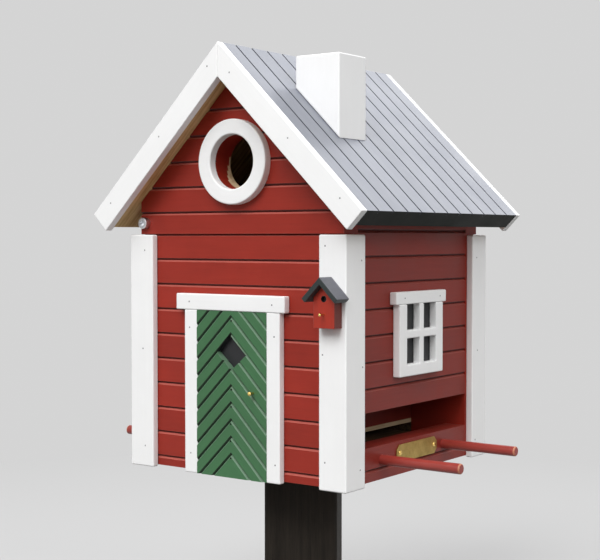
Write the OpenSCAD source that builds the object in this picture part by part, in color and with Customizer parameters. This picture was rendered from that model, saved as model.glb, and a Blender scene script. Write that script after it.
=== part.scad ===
// Wooden nest box and feeder built as a small grooved-board cottage, standing on a square post.
// Millimetres, +Z up. The origin is the centre of the post's foot; the door faces -Y.
// The roof swings open on two bolts at its left eave.

/* [House] */
// Width over the outer faces of the side walls
house_w = 151; // [140:1:190]
// Depth over the outer faces of the front and back walls
house_d = 153; // [130:1:190]
// Height over the outer faces of the side walls at which the roof's underside crosses them
wall_top = 162.9; // [150:0.1:200]
// Thickness of every wall board
wall_t = 14; // [11:0.5:16]
// Height of the side walls' lower edge above the corner boards' lower edge
wall_lift = 1; // [0:0.5:3]
// Thickness of the floor board
floor_t = 12; // [8:0.5:16]

/* [Roof] */
// Slope of both roof sides, in degrees
roof_pitch = 44.6; // [42:0.2:46]
// Horizontal reach of the eaves past the outer faces of the side walls
eave_reach = 23.6; // [21:0.1:32]
// Thickness of the grooved roof boards
roof_t = 11; // [8:0.5:12]
// Reach of the roof in front of the front wall, bargeboard included
front_overhang = 17.6; // [12:0.2:25]
// Reach of the roof behind the back wall, bargeboard included
back_overhang = 15.7; // [12:0.2:25]
// Width of the bargeboards, square to the slope
barge_w = 14.3; // [13:0.1:18]
// Thickness of the bargeboards
barge_t = 5.4; // [4:0.1:7]
// Gap between the closed roof and the walls that it rests on
roof_gap = 0.3; // [0.2:0.1:1]

/* [Roof hinge] */
// Distance of the hinge bolts from the outer face of the left wall
hinge_inset = 4.2; // [4:0.1:7]
// Depth of the hinge bolts below the height at which the roof crosses the walls
hinge_drop = 13.3; // [10:0.1:15]
// Diameter of the bolt shanks
bolt_d = 4; // [3:0.5:5]
// Diameter of the round bolt heads
bolt_head_d = 7; // [6:0.5:8]
// Height of the bolt heads
bolt_head_h = 4; // [3:0.5:5]
// Width across the flats of the hexagonal sockets
socket_af = 3; // [2.5:0.5:4]
// Depth of the hexagonal sockets
socket_depth = 2; // [1:0.5:2.5]
// Radial clearance of the bolt shanks in the wall
bolt_clear = 0.05; // [0.02:0.01:0.1]
// Length of the shank inside the hinge batten
bolt_grip = 13; // [8:1:25]
// Side and end clearance of the hinge batten
batten_gap = 0.6; // [0.5:0.1:1.5]

/* [Corner boards] */
// Depth of the corner boards' tops below the height at which the roof crosses the walls
corner_drop = 20.5; // [19:0.1:30]
// Thickness of the corner boards
corner_t = 4.8; // [3:0.1:7]
// Width of the corner boards on the front and back, over the outer corner
corner_w = 18.4; // [14:0.2:24]
// Width of the front corner boards on the side walls, over the outer corner
corner_side_w = 19.6; // [14:0.2:24]
// Width of the back corner boards on the side walls, over the outer corner
corner_back_w = 17.8; // [14:0.2:24]

/* [Feeder] */
// Height of the tray's side boards above the corner boards' lower edge
tray_top_z = 20.8; // [18:0.2:26]
// Height of the upper side walls' lower edge above the corner boards' lower edge
slot_top_z = 41; // [36:0.5:48]
// Distance from the middle of the house to the outer face of each inner panel
panel_x = 35.6; // [30:0.2:42]
// Thickness of the inner panels
panel_t = 9; // [6:0.5:12]
// Height of the inner panels' lower edge above the corner boards' lower edge
panel_z = 19.3; // [17.5:0.1:23]
// Height of the inner panels' upper edge above the corner boards' lower edge
panel_top_z = 136; // [110:1:138]

/* [Perches] */
// Diameter of the perch dowels
perch_d = 6; // [4:0.5:8]
// Reach of the right front perch from its tray board
perch_reach = 52.5; // [40:0.5:70]
// How much shorter the right back perch is
back_perch_short = 2; // [0:0.5:6]
// How much shorter the left perches are
left_perch_short = 4; // [0:0.5:8]
// Depth of the perches' blind holes
perch_seat = 8; // [5:0.5:10]
// Height of the perches above the corner boards' lower edge
perch_z = 12.4; // [8:0.1:15]
// Distance between a pair of perches
perch_spacing = 71.3; // [50:0.1:80]
// Shift of the perch pairs from the middle of the depth
perch_shift = -1.6; // [-3:0.1:3]
// Radial clearance of the dowels in their holes
perch_clear = 0.05; // [0:0.01:0.2]

/* [Entrance] */
// Diameter of the entrance hole
hole_d = 32; // [26:1:40]
// Height of the entrance above the height at which the roof crosses the walls
hole_rise = 21.9; // [15:0.1:26]
// Width of the ring's face round the entrance
ring_w = 8.9; // [6:0.1:10]
// Thickness of the ring
ring_t = 5.3; // [4:0.1:8]

/* [Door] */
// Width of the door panel
door_w = 52; // [44:0.5:58]
// Height of the door panel
door_h = 97.8; // [86:0.2:108]
// Shift of the door to the right of the middle
door_shift = -0.8; // [-3:0.1:3]
// Thickness of the door panel and its jambs
door_t = 4.7; // [3:0.1:6]
// Width of the door jambs
jamb_w = 9.6; // [7:0.1:12]
// Height of the door lintel
lintel_h = 9.6; // [7:0.1:12]
// Reach of the door lintel past each jamb
lintel_reach = 5; // [2:0.5:8]
// Shift of the door lintel from the middle of the door
lintel_shift = -1.3; // [-3:0.1:3]
// Thickness of the lintels over the door and the windows
lintel_t = 5; // [4:0.1:7]
// Half diagonal of the diamond window in the door
diamond_r = 10.1; // [6:0.1:12]
// Height of the diamond window's centre
diamond_z = 74.2; // [68:0.2:78]
// Diameter of the door pull's stem
knob_stem_d = 1.4; // [1:0.1:2]
// Diameter of the door pull's ball
knob_d = 2.6; // [2:0.1:4]
// Reach of the door pull in front of the door
knob_reach = 4.6; // [3:0.1:6]
// Distance of the door pull from the middle of the door
knob_x = 16.6; // [10:0.1:20]
// Height of the door pull
knob_z = 51; // [40:0.5:60]

/* [Windows] */
// Width of the window frames
window_w = 50.4; // [40:0.2:56]
// Height of the window frames' lower edge
window_z = 59; // [52:0.5:62]
// Width of the frames' upright sides
stile_w = 8.4; // [6:0.1:10]
// Height of the frames' lower rail
rail_h = 7; // [5:0.1:9]
// Width of the crossed glazing bars
bar_w = 4.8; // [3:0.1:6]
// Height of each pane
pane_h = 15.4; // [12:0.1:18]
// Reach of the window lintels past each side of the frame
window_reach = 3.7; // [2:0.1:5]
// Height of the window lintels
window_lintel_h = 7.3; // [6:0.1:10]

/* [Plate] */
// Length of the blank brass plate
plate_w = 46.5; // [36:0.5:50]
// Height of the blank brass plate
plate_h = 10.4; // [8:0.1:12]
// Thickness of the brass plate
plate_t = 0.8; // [0.5:0.1:1.5]
// Length cut off each corner of the plate
plate_cut = 3; // [1:0.1:4]
// Shift of the plate from the middle of the depth
plate_shift = 2; // [-4:0.1:4]
// Height of the plate's centre
plate_z = 13.4; // [12:0.1:15]

/* [Toy nest box] */
// Width of the toy nest box
toy_w = 14.1; // [10:0.1:16]
// Depth of the toy nest box
toy_d = 7.5; // [5:0.1:10]
// Height of the toy nest box's lower edge
toy_z = 91; // [80:0.5:100]
// Height of the toy roof's ridge above the toy box's lower edge
toy_ridge = 28.3; // [25:0.1:34]
// Width of the toy roof
toy_roof_w = 24; // [20:0.2:30]
// Depth of the toy roof
toy_roof_d = 12; // [9:0.2:15]
// Thickness of the toy roof
toy_roof_t = 3; // [2:0.1:4]
// Shift of the toy nest box from the middle of its corner board towards the door
toy_shift = 0.5; // [0:0.1:3]
// Diameter of the toy entrance hole
toy_hole_d = 3.6; // [2:0.1:5]
// Depth of the toy entrance hole
toy_hole_depth = 2.5; // [1:0.5:4]
// Height of the toy entrance hole above the toy box's lower edge
toy_hole_z = 16.2; // [12:0.1:18]
// Height of the toy perch above the toy box's lower edge
toy_perch_z = 7.7; // [3:0.1:10]
// Diameter of the toy perch
toy_perch_d = 1.8; // [1:0.1:2.4]
// Reach of the toy perch
toy_perch_reach = 4.6; // [2:0.1:5]

/* [Chimney] */
// Width of the chimney
chimney_w = 31; // [24:0.2:34]
// Depth of the chimney
chimney_d = 28.4; // [22:0.2:34]
// Distance from the ridge line to the chimney's inner side
chimney_x = 24.9; // [20:0.1:30]
// Distance from the front wall to the chimney's front
chimney_y = 24.2; // [15:0.2:60]
// Height of the chimney's top below the ridge
chimney_drop = 5.8; // [0:0.2:8]

/* [Post] */
// Side of the square post
post_w = 45; // [38:1:60]
// Length of the post below the house
post_len = 120; // [80:5:400]
// Turn of the post about its own axis, in degrees
post_turn = 30; // [0:1:44]
// Distance of the middle of the house behind the post's axis
post_setback = 9; // [0:0.5:12]
// Radius of the post's eased edges
post_ease = 3; // [1:0.5:5]

/* [Hidden] */
$fn = 64;

// Colours
red = [0.45, 0.11, 0.09];
white = [0.93, 0.93, 0.92];
green = [0.16, 0.33, 0.19];
grey = [0.42, 0.43, 0.46];
brown = [0.13, 0.10, 0.08];
bare = [0.72, 0.56, 0.38];
gold = [0.66, 0.52, 0.22];
zinc = [0.75, 0.76, 0.78];
dark = [0.12, 0.12, 0.13];
bright_red = [0.55, 0.12, 0.08];

// Half sizes and inner faces of the house
side_x = house_w / 2;
inner_x = side_x - wall_t;
inner_d = house_d - 2 * wall_t;
mid_y = house_d / 2;
cut = 1;

// The roof's ridge and eave, and the heights of its underside at a distance from the middle line
slope = tan(roof_pitch);
under_ridge = wall_top + side_x * slope;
ridge_z = under_ridge + roof_t / cos(roof_pitch);
eave_x = side_x + eave_reach;
function under_z(x) = under_ridge - x * slope;
function rest_z(x) = under_z(x) - roof_gap / cos(roof_pitch);

// Hinge axis, and the batten that turns round it
hinge_x = -side_x + hinge_inset;
hinge_z = wall_top - hinge_drop;
batten_r = hinge_inset;
batten_w = wall_t;
left_wall_top = hinge_z - batten_r - batten_gap;

// As the roof swings, its right underside comes nearest to the hinge axis here
swing_r = (under_ridge - hinge_z) * cos(roof_pitch) - hinge_x * sin(roof_pitch) - roof_gap;
near_x = hinge_x + swing_r * sin(roof_pitch);
near_z = hinge_z + swing_r * cos(roof_pitch);

// Window heights above the frame's lower edge
pane_w = (window_w - 2 * stile_w - bar_w) / 2;
window_h = rail_h + 2 * pane_h + bar_w;

corner_h = wall_top - corner_drop;
hole_z = wall_top + hole_rise;
ring_d = hole_d + 2 * ring_w;

toy_x = side_x + corner_t - corner_w / 2 - toy_shift;
toy_slope = 45;

// Puts children drawn in house coordinates on the post: x from the middle of the width, y from
// the front wall's outer face towards the back, z from the corner boards' lower edge.
module house() {
    translate([0, post_setback - mid_y, post_len - wall_lift]) children();
}

// Draws children on the right and, mirrored, on the left.
module on_side(side) {
    mirror([side == "left" ? 1 : 0, 0, 0]) children();
}

// Extrudes an outline drawn in X and Z from y0 towards the back.
module along_y(y0, length) {
    translate([0, y0 + length, 0]) rotate([90, 0, 0]) linear_extrude(height = length) children();
}

// Extrudes an outline drawn in Y and Z from x0 to the right.
module along_x(x0, length) {
    translate([x0, 0, 0]) rotate([90, 0, 90]) linear_extrude(height = length) children();
}

module post() {
    color(brown) rotate([0, 0, post_turn]) linear_extrude(height = post_len)
        offset(r = post_ease, $fn = 32) square(post_w - 2 * post_ease, center = true);
}

module floor_board() {
    color(bare) translate([-inner_x, wall_t, wall_lift]) cube([2 * inner_x, inner_d, floor_t]);
}

// What the swinging roof would strike at the gable's tip
module tip_trim() {
    difference() {
        translate([-near_x, near_z]) square([2 * near_x, swing_r]);
        translate([hinge_x, hinge_z]) circle(r = swing_r, $fn = 360);
    }
}

module gable_outline() {
    difference() {
        polygon([
            [-side_x, wall_lift], [side_x, wall_lift], [side_x, rest_z(side_x)],
            [0, rest_z(0)], [-side_x, rest_z(side_x)]
        ]);
        if (near_x > 0) tip_trim();
    }
}

module bolt_hole(y0, length) {
    along_y(y0 - cut, length + 2 * cut) translate([hinge_x, hinge_z]) circle(d = bolt_d + 2 * bolt_clear);
}

module front_wall() {
    color(red) difference() {
        along_y(0, wall_t) gable_outline();
        along_y(-cut, wall_t + 2 * cut) translate([0, hole_z]) circle(d = hole_d);
        bolt_hole(0, wall_t);
    }
}

module back_wall() {
    color(red) difference() {
        along_y(house_d - wall_t, wall_t) gable_outline();
        bolt_hole(house_d - wall_t, wall_t);
    }
}

// The left wall ends square under the hinge batten.
module left_wall() {
    color(red) translate([-side_x, wall_t, slot_top_z]) cube([wall_t, inner_d, left_wall_top - slot_top_z]);
}

// The right wall's top is bevelled to the roof's slope.
module right_wall() {
    color(red) along_y(wall_t, inner_d) polygon([
        [inner_x, slot_top_z], [side_x, slot_top_z], [side_x, rest_z(side_x)], [inner_x, rest_z(inner_x)]
    ]);
}

perch_y = [mid_y + perch_shift - perch_spacing / 2, mid_y + perch_shift + perch_spacing / 2];

module tray_board(side) {
    color(red) on_side(side) difference() {
        translate([inner_x, wall_t, wall_lift]) cube([wall_t, inner_d, tray_top_z - wall_lift]);
        for (y = perch_y)
            translate([side_x - perch_seat, y, perch_z]) rotate([0, 90, 0])
                cylinder(d = perch_d + 2 * perch_clear, h = perch_seat + cut);
    }
}

module inner_panel(side) {
    color(red) on_side(side)
        translate([panel_x - panel_t, wall_t, panel_z]) cube([panel_t, inner_d, panel_top_z - panel_z]);
}

// An L-shaped moulding over one corner, drawn for the front right corner.
module corner_board(side, side_w) {
    color(white) on_side(side) linear_extrude(height = corner_h) polygon([
        [side_x + corner_t, -corner_t], [side_x + corner_t, side_w - corner_t], [side_x, side_w - corner_t],
        [side_x, 0], [side_x + corner_t - corner_w, 0], [side_x + corner_t - corner_w, -corner_t]
    ]);
}

module back_corner_board(side) {
    translate([0, house_d, 0]) mirror([0, 1, 0]) corner_board(side, corner_back_w);
}

module entrance_ring() {
    color(white) along_y(-ring_t, ring_t) translate([0, hole_z]) difference() {
        circle(d = ring_d);
        circle(d = hole_d);
    }
}

module door_panel() {
    color(green) along_y(-door_t, door_t) difference() {
        translate([door_shift - door_w / 2, 0]) square([door_w, door_h]);
        translate([door_shift, diamond_z]) polygon([
            [0, diamond_r], [diamond_r, 0], [0, -diamond_r], [-diamond_r, 0]
        ]);
    }
}

module door_jamb(direction) {
    x0 = direction < 0 ? -door_w / 2 - jamb_w : door_w / 2;
    color(white) translate([door_shift + x0, -door_t, 0]) cube([jamb_w, door_t, door_h]);
}

module door_lintel() {
    lintel_w = door_w + 2 * jamb_w + 2 * lintel_reach;
    x0 = door_shift + lintel_shift - lintel_w / 2;
    color(white) translate([x0, -lintel_t, door_h]) cube([lintel_w, lintel_t, lintel_h]);
}

module door_pull() {
    ball_y = -door_t - knob_reach + knob_d / 2;
    color(gold) translate([door_shift + knob_x, 0, knob_z]) union() {
        translate([0, ball_y, 0]) sphere(d = knob_d);
        translate([0, -door_t, 0]) rotate([90, 0, 0]) cylinder(d = knob_stem_d, h = knob_reach - knob_d / 2);
    }
}

// The frame's upper panes run up to the lintel that lies on its top edge.
module window_frame(side) {
    color(white) on_side(side) along_x(side_x, lintel_t) translate([mid_y - window_w / 2, window_z])
        difference() {
            square([window_w, window_h]);
            for (i = [0, 1], j = [0, 1])
                translate([stile_w + i * (pane_w + bar_w), rail_h + j * (pane_h + bar_w)])
                    square([pane_w, pane_h + j * cut]);
        }
}

module window_lintel(side) {
    width = window_w + 2 * window_reach;
    color(white) on_side(side)
        translate([side_x, mid_y - width / 2, window_z + window_h]) cube([lintel_t, width, window_lintel_h]);
}

module perch(side, y, short) {
    color(red) on_side(side) translate([side_x - perch_seat, y, perch_z]) rotate([0, 90, 0])
        cylinder(d = perch_d, h = perch_seat + perch_reach - short);
}

module blank_plate() {
    a = plate_w / 2;
    b = plate_h / 2;
    color(gold) along_x(side_x, plate_t) translate([mid_y + plate_shift, plate_z]) polygon([
        [-a + plate_cut, -b], [a - plate_cut, -b], [a, -b + plate_cut], [a, b - plate_cut],
        [a - plate_cut, b], [-a + plate_cut, b], [-a, b - plate_cut], [-a, -b + plate_cut]
    ]);
}

// Height of the toy roof's top and underside above the toy box's lower edge
function toy_top(x) = toy_ridge - x * tan(toy_slope);
function toy_under(x) = toy_top(x) - toy_roof_t / cos(toy_slope);

module toy_box_body() {
    a = toy_w / 2;
    color(bright_red) translate([toy_x, -corner_t, toy_z]) difference() {
        along_y(-toy_d, toy_d) polygon([[-a, 0], [a, 0], [a, toy_under(a)], [0, toy_under(0)], [-a, toy_under(a)]]);
        along_y(-toy_d - cut, toy_hole_depth + cut) translate([0, toy_hole_z]) circle(d = toy_hole_d);
    }
}

module toy_box_roof() {
    a = toy_roof_w / 2;
    foot = toy_roof_t * sin(toy_slope);
    color(dark) translate([toy_x, -corner_t, toy_z]) along_y(-toy_roof_d, toy_roof_d) polygon([
        [0, toy_top(0)], [a, toy_top(a)], [a - foot, toy_under(a - foot)], [0, toy_under(0)],
        [foot - a, toy_under(a - foot)], [-a, toy_top(a)]
    ]);
}

module toy_box_perch() {
    color(gold) translate([toy_x, -corner_t - toy_d, toy_z + toy_perch_z]) rotate([90, 0, 0])
        cylinder(d = toy_perch_d, h = toy_perch_reach);
}

// Half of a roof layer: its outer face runs from the ridge to the eave, its depth is square to the slope.
module slope_outline(depth) {
    foot_x = eave_x - depth * sin(roof_pitch);
    low = ridge_z - depth / cos(roof_pitch);
    polygon([[0, ridge_z], [eave_x, ridge_z - eave_x * slope], [foot_x, low - foot_x * slope], [0, low]]);
}

module roof_board(side) {
    y0 = -front_overhang + barge_t;
    color(grey) on_side(side)
        along_y(y0, house_d + back_overhang - barge_t - y0) slope_outline(roof_t);
}

module bargeboard(side, y0) {
    color(white) on_side(side) along_y(y0, barge_t) slope_outline(barge_w);
}

// A block cut to the slope that it stands on.
module chimney() {
    far_x = chimney_x + chimney_w;
    top = ridge_z - chimney_drop;
    color(white) along_y(chimney_y, chimney_d) polygon([
        [chimney_x, ridge_z - chimney_x * slope], [far_x, ridge_z - far_x * slope], [far_x, top], [chimney_x, top]
    ]);
}

// Carries the roof on its bolts: round below, bevelled to the slope above.
module hinge_batten() {
    y0 = wall_t + batten_gap;
    length = inner_d - 2 * batten_gap;
    color(red) difference() {
        along_y(y0, length) union() {
            translate([hinge_x, hinge_z]) circle(r = batten_r);
            polygon([
                [-side_x, hinge_z], [-side_x + batten_w, hinge_z - batten_r],
                [-side_x + batten_w, under_z(side_x - batten_w)], [-side_x, under_z(side_x)]
            ]);
        }
        bolt_hole(y0, length);
    }
}

module hinge_bolt() {
    shank = wall_t + batten_gap + bolt_grip;
    color(zinc) translate([hinge_x, 0, hinge_z]) difference() {
        union() {
            rotate([-90, 0, 0]) cylinder(d = bolt_d, h = shank);
            rotate([90, 0, 0]) cylinder(d = bolt_head_d, h = bolt_head_h);
        }
        translate([0, -bolt_head_h + socket_depth, 0]) rotate([90, 0, 0])
            cylinder(d = socket_af / cos(30), h = socket_depth + cut, $fn = 6);
    }
}

module back_hinge_bolt() {
    translate([0, house_d, 0]) mirror([0, 1, 0]) hinge_bolt();
}

back_barge_y = house_d + back_overhang - barge_t;

post();
house() floor_board();  // floor
house() front_wall();
house() back_wall();
house() left_wall();
house() right_wall();
house() tray_board("left");  // left_tray_board
house() tray_board("right");  // right_tray_board
house() inner_panel("left");  // left_inner_panel
house() inner_panel("right");  // right_inner_panel
house() corner_board("left", corner_side_w);  // front_left_corner_board
house() corner_board("right", corner_side_w);  // front_right_corner_board
house() back_corner_board("left");  // back_left_corner_board
house() back_corner_board("right");  // back_right_corner_board
house() entrance_ring();
house() door_panel();
house() door_jamb(-1);  // door_left_jamb
house() door_jamb(1);  // door_right_jamb
house() door_lintel();
house() door_pull();
house() window_frame("left");  // left_window_frame
house() window_frame("right");  // right_window_frame
house() window_lintel("left");  // left_window_lintel
house() window_lintel("right");  // right_window_lintel
house() perch("left", perch_y[0], left_perch_short);  // left_front_perch
house() perch("left", perch_y[1], left_perch_short);  // left_back_perch
house() perch("right", perch_y[0], 0);  // right_front_perch
house() perch("right", perch_y[1], back_perch_short);  // right_back_perch
house() blank_plate();
house() toy_box_body();
house() toy_box_roof();
house() toy_box_perch();
house() roof_board("left");  // left_roof_board
house() roof_board("right");  // right_roof_board
house() bargeboard("left", -front_overhang);  // front_left_bargeboard
house() bargeboard("right", -front_overhang);  // front_right_bargeboard
house() bargeboard("left", back_barge_y);  // back_left_bargeboard
house() bargeboard("right", back_barge_y);  // back_right_bargeboard
house() chimney();
house() hinge_batten();
house() hinge_bolt();  // front_hinge_bolt
house() back_hinge_bolt();
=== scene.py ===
"""Finish and fine detail of a wooden nest box built as a small grooved-board cottage on a post.

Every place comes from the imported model. Sizes that only the fine detail needs are fields of the
classes below. Lengths are in metres and the row frame is used throughout: +Z up, door facing -Y.
"""

import logging
import math
from abc import ABC, abstractmethod
from collections.abc import Callable, Iterable, Sequence
from dataclasses import dataclass, replace
from enum import Enum
from functools import cache

import bmesh
import bpy
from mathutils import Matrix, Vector


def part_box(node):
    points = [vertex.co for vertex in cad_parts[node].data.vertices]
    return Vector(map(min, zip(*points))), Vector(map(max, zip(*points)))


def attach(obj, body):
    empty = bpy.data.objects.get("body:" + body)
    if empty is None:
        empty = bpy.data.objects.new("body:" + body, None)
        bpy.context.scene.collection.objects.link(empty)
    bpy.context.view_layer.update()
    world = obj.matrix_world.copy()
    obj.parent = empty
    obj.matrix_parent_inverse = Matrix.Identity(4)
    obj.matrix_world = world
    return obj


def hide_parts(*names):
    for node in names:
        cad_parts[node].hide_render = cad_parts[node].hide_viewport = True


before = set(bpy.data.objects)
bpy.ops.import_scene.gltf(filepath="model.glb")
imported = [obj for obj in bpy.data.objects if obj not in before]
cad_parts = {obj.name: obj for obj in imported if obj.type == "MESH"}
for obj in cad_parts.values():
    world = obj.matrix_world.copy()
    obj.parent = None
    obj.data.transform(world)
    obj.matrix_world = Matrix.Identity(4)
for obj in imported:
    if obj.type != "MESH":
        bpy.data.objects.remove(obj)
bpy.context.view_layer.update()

MM = 0.001
PITCH = math.radians(44.6)
BOARD_PITCH = 15.1 * MM
ENTRANCE_RADIUS = 16 * MM
SHANK_RADIUS = 2 * MM
MOST_FINISHES = 5
EASED_FROM = math.radians(28)
SHARP_FROM = math.radians(50)
CUT_REACH = 1e-7
WELD_REACH = 1e-6
SAME_PLACE = 1e-5
SUNK = 0.1 * MM
HANDS = {"right": 1, "left": -1}

Colour = tuple[float, float, float, float]
Point = tuple[float, float]
Socket = bpy.types.NodeSocket
log = logging.getLogger("nest_box")


def srgb(red: int, green: int, blue: int) -> Colour:
    """Turns a display colour into the linear colour that a shader takes.

    Args:
        red: Red from 0 to 255.
        green: Green from 0 to 255.
        blue: Blue from 0 to 255.

    Returns:
        The linear colour, opaque.
    """
    linear = []
    for level in (red, green, blue):
        share = level / 255
        linear.append(share / 12.92 if share <= 0.04045 else ((share + 0.055) / 1.055) ** 2.4)
    return (linear[0], linear[1], linear[2], 1.0)


def toned(colour: Colour, factor: float) -> Colour:
    """Returns the colour with its brightness multiplied by the factor."""
    return (*(min(1.0, level * factor) for level in colour[:3]), 1.0)


class Grain(Enum):
    """Way in which the wood's grain runs, as the turn from the X axis to it."""

    ACROSS = (0.0, 0.0, 0.0)
    DEEP = (0.0, 0.0, math.pi / 2)
    UPRIGHT = (0.0, -math.pi / 2, 0.0)
    RIGHT_SLOPE = (0.0, PITCH, 0.0)
    LEFT_SLOPE = (0.0, -PITCH, 0.0)
    RISING = (0.0, -math.pi / 4, 0.0)
    FALLING = (0.0, math.pi / 4, 0.0)


class Axis(Enum):
    """Row-frame axis, as the name of its output on a Separate XYZ node."""

    X = "X"
    Y = "Y"
    Z = "Z"


@dataclass(frozen=True)
class Boards:
    """Even rows of boards, each with a tone of its own."""

    axis: Axis
    start: float
    pitch: float = BOARD_PITCH


class Graph:
    """Node tree of one material or world, built in code."""

    def __init__(self, owner: bpy.types.ID) -> None:
        """Starts an empty tree with the piece's own coordinates.

        Args:
            owner: Material or world that the tree belongs to.
        """
        owner.use_nodes = True
        self.owner = owner
        self.tree = owner.node_tree
        self.tree.nodes.clear()
        places = self.add("ShaderNodeTexCoord").outputs
        self.space, self.direction = places["Object"], places["Generated"]

    def add(self, kind: str, inputs: dict | None = None, **settings: object) -> bpy.types.Node:
        """Adds a node.

        Args:
            kind: Blender's name of the node type.
            inputs: Values or sockets to feed in, by input name or number.
            settings: The node's own settings.

        Returns:
            The new node.
        """
        node = self.tree.nodes.new(kind)
        for key, value in settings.items():
            setattr(node, key, value)
        for key, value in (inputs or {}).items():
            if isinstance(value, Socket):
                self.tree.links.new(value, node.inputs[key])
            else:
                node.inputs[key].default_value = value
        return node

    def maths(self, operation: str, first: object, second: object = 0.0) -> Socket:
        """Returns the result of a Math node on two values or sockets."""
        return self.add("ShaderNodeMath", {0: first, 1: second}, operation=operation).outputs[0]

    def noise(self, vector: Socket, scale: float, detail: float = 3.0) -> Socket:
        """Returns a noise whose features are about 1 / scale metres wide."""
        inputs = {"Vector": vector, "Scale": scale, "Detail": detail, "Roughness": 0.6}
        return self.add("ShaderNodeTexNoise", inputs).outputs["Fac"]

    def spread(self, value: object, start: float, end: float, low: float, high: float) -> Socket:
        """Maps a range onto another one, held at its ends.

        Args:
            value: The socket to map.
            start: Value that becomes low.
            end: Value that becomes high.
            low: Result at the start.
            high: Result at the end.

        Returns:
            The mapped value's socket.
        """
        return self.add("ShaderNodeMapRange", {0: value, 1: start, 2: end, 3: low, 4: high}).outputs[0]

    def mix(self, factor: object, first: object, second: object, blend: str = "MIX") -> Socket:
        """Returns the mix of two colours by a factor."""
        inputs = {0: factor, 6: first, 7: second}
        return self.add("ShaderNodeMix", inputs, data_type="RGBA", blend_type=blend).outputs[2]

    def along(self, grain: Grain, stretch: float) -> Socket:
        """Gives coordinates drawn out along the grain and shifted for each piece.

        Args:
            grain: Way of the grain.
            stretch: How many times longer than wide a feature becomes.

        Returns:
            The coordinates' socket.
        """
        random = self.add("ShaderNodeObjectInfo").outputs["Random"]
        shift = self.maths("MULTIPLY", random, 3.0)
        offset = self.add("ShaderNodeCombineXYZ", {"X": shift, "Y": shift, "Z": shift}).outputs[0]
        inputs = {"Vector": self.space, "Location": offset, "Rotation": grain.value}
        inputs["Scale"] = (stretch, 1.0, 1.0)
        return self.add("ShaderNodeMapping", inputs, vector_type="TEXTURE").outputs[0]

    def board_tone(self, boards: Boards) -> Socket:
        """Gives each board of the rows a value of its own.

        Args:
            boards: The rows.

        Returns:
            The socket of a random value from 0 to 1.
        """
        place = self.add("ShaderNodeSeparateXYZ", {0: self.space}).outputs[boards.axis.value]
        index = self.maths("DIVIDE", self.maths("SUBTRACT", place, boards.start), boards.pitch)
        whole = self.maths("FLOOR", index)
        return self.add("ShaderNodeTexWhiteNoise", {"W": whole}, noise_dimensions="1D").outputs["Value"]

    def edges(self, radius: float) -> Socket:
        """Finds the outer and inner edges.

        Args:
            radius: Reach of an edge.

        Returns:
            The socket of a mask that is 1 at edges and 0 on flat faces.
        """
        rounded = self.add("ShaderNodeBevel", {"Radius": radius}, samples=4).outputs[0]
        flat = self.add("ShaderNodeNewGeometry").outputs["True Normal"]
        dot = self.add("ShaderNodeVectorMath", {0: rounded, 1: flat}, operation="DOT_PRODUCT")
        return self.spread(dot.outputs["Value"], 0.995, 0.85, 0.0, 1.0)

    def weigh(self, parts: Iterable[tuple[object, float]]) -> Socket:
        """Blends values: a half plus each value's weighted distance from a half.

        Args:
            parts: Sockets and their weights.

        Returns:
            The sum's socket.
        """
        total: object = 0.5
        for value, weight in parts:
            swing = self.maths("MULTIPLY", self.maths("SUBTRACT", value, 0.5), weight)
            total = self.maths("ADD", total, swing)
        return total

    def bump(self, height: object, depth: float, normal: object = None) -> Socket:
        """Turns a height into relief.

        Args:
            height: Socket of the height, from 0 to 1.
            depth: Depth of the relief in metres.
            normal: Socket of a normal that the relief is added to.

        Returns:
            The new normal's socket.
        """
        inputs = {"Height": height, "Distance": depth, "Strength": 1.0}
        if normal is not None:
            inputs["Normal"] = normal
        return self.add("ShaderNodeBump", inputs).outputs[0]

    def close(self, colour: Socket, rough: Socket, normal: Socket, rest: dict) -> bpy.types.Material:
        """Ends the tree in a principled shader.

        Args:
            colour: Socket of the base colour.
            rough: Socket of the roughness.
            normal: Socket of the normal.
            rest: The shader's other values, by input name.

        Returns:
            The finished material.
        """
        inputs = {"Base Color": colour, "Roughness": rough, "Normal": normal, **rest}
        shader = self.add("ShaderNodeBsdfPrincipled", inputs)
        self.add("ShaderNodeOutputMaterial", {"Surface": shader.outputs[0]})
        return self.owner

    def background(self) -> Socket:
        """Tells rays that show a background from those that light.

        Returns:
            The socket of a mask that is 1 for the former and 0 for the latter.
        """
        path = self.add("ShaderNodeLightPath").outputs
        mirrored = self.maths("MAXIMUM", path["Is Glossy Ray"], path["Is Transmission Ray"])
        return self.maths("MAXIMUM", path["Is Camera Ray"], mirrored)


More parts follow.
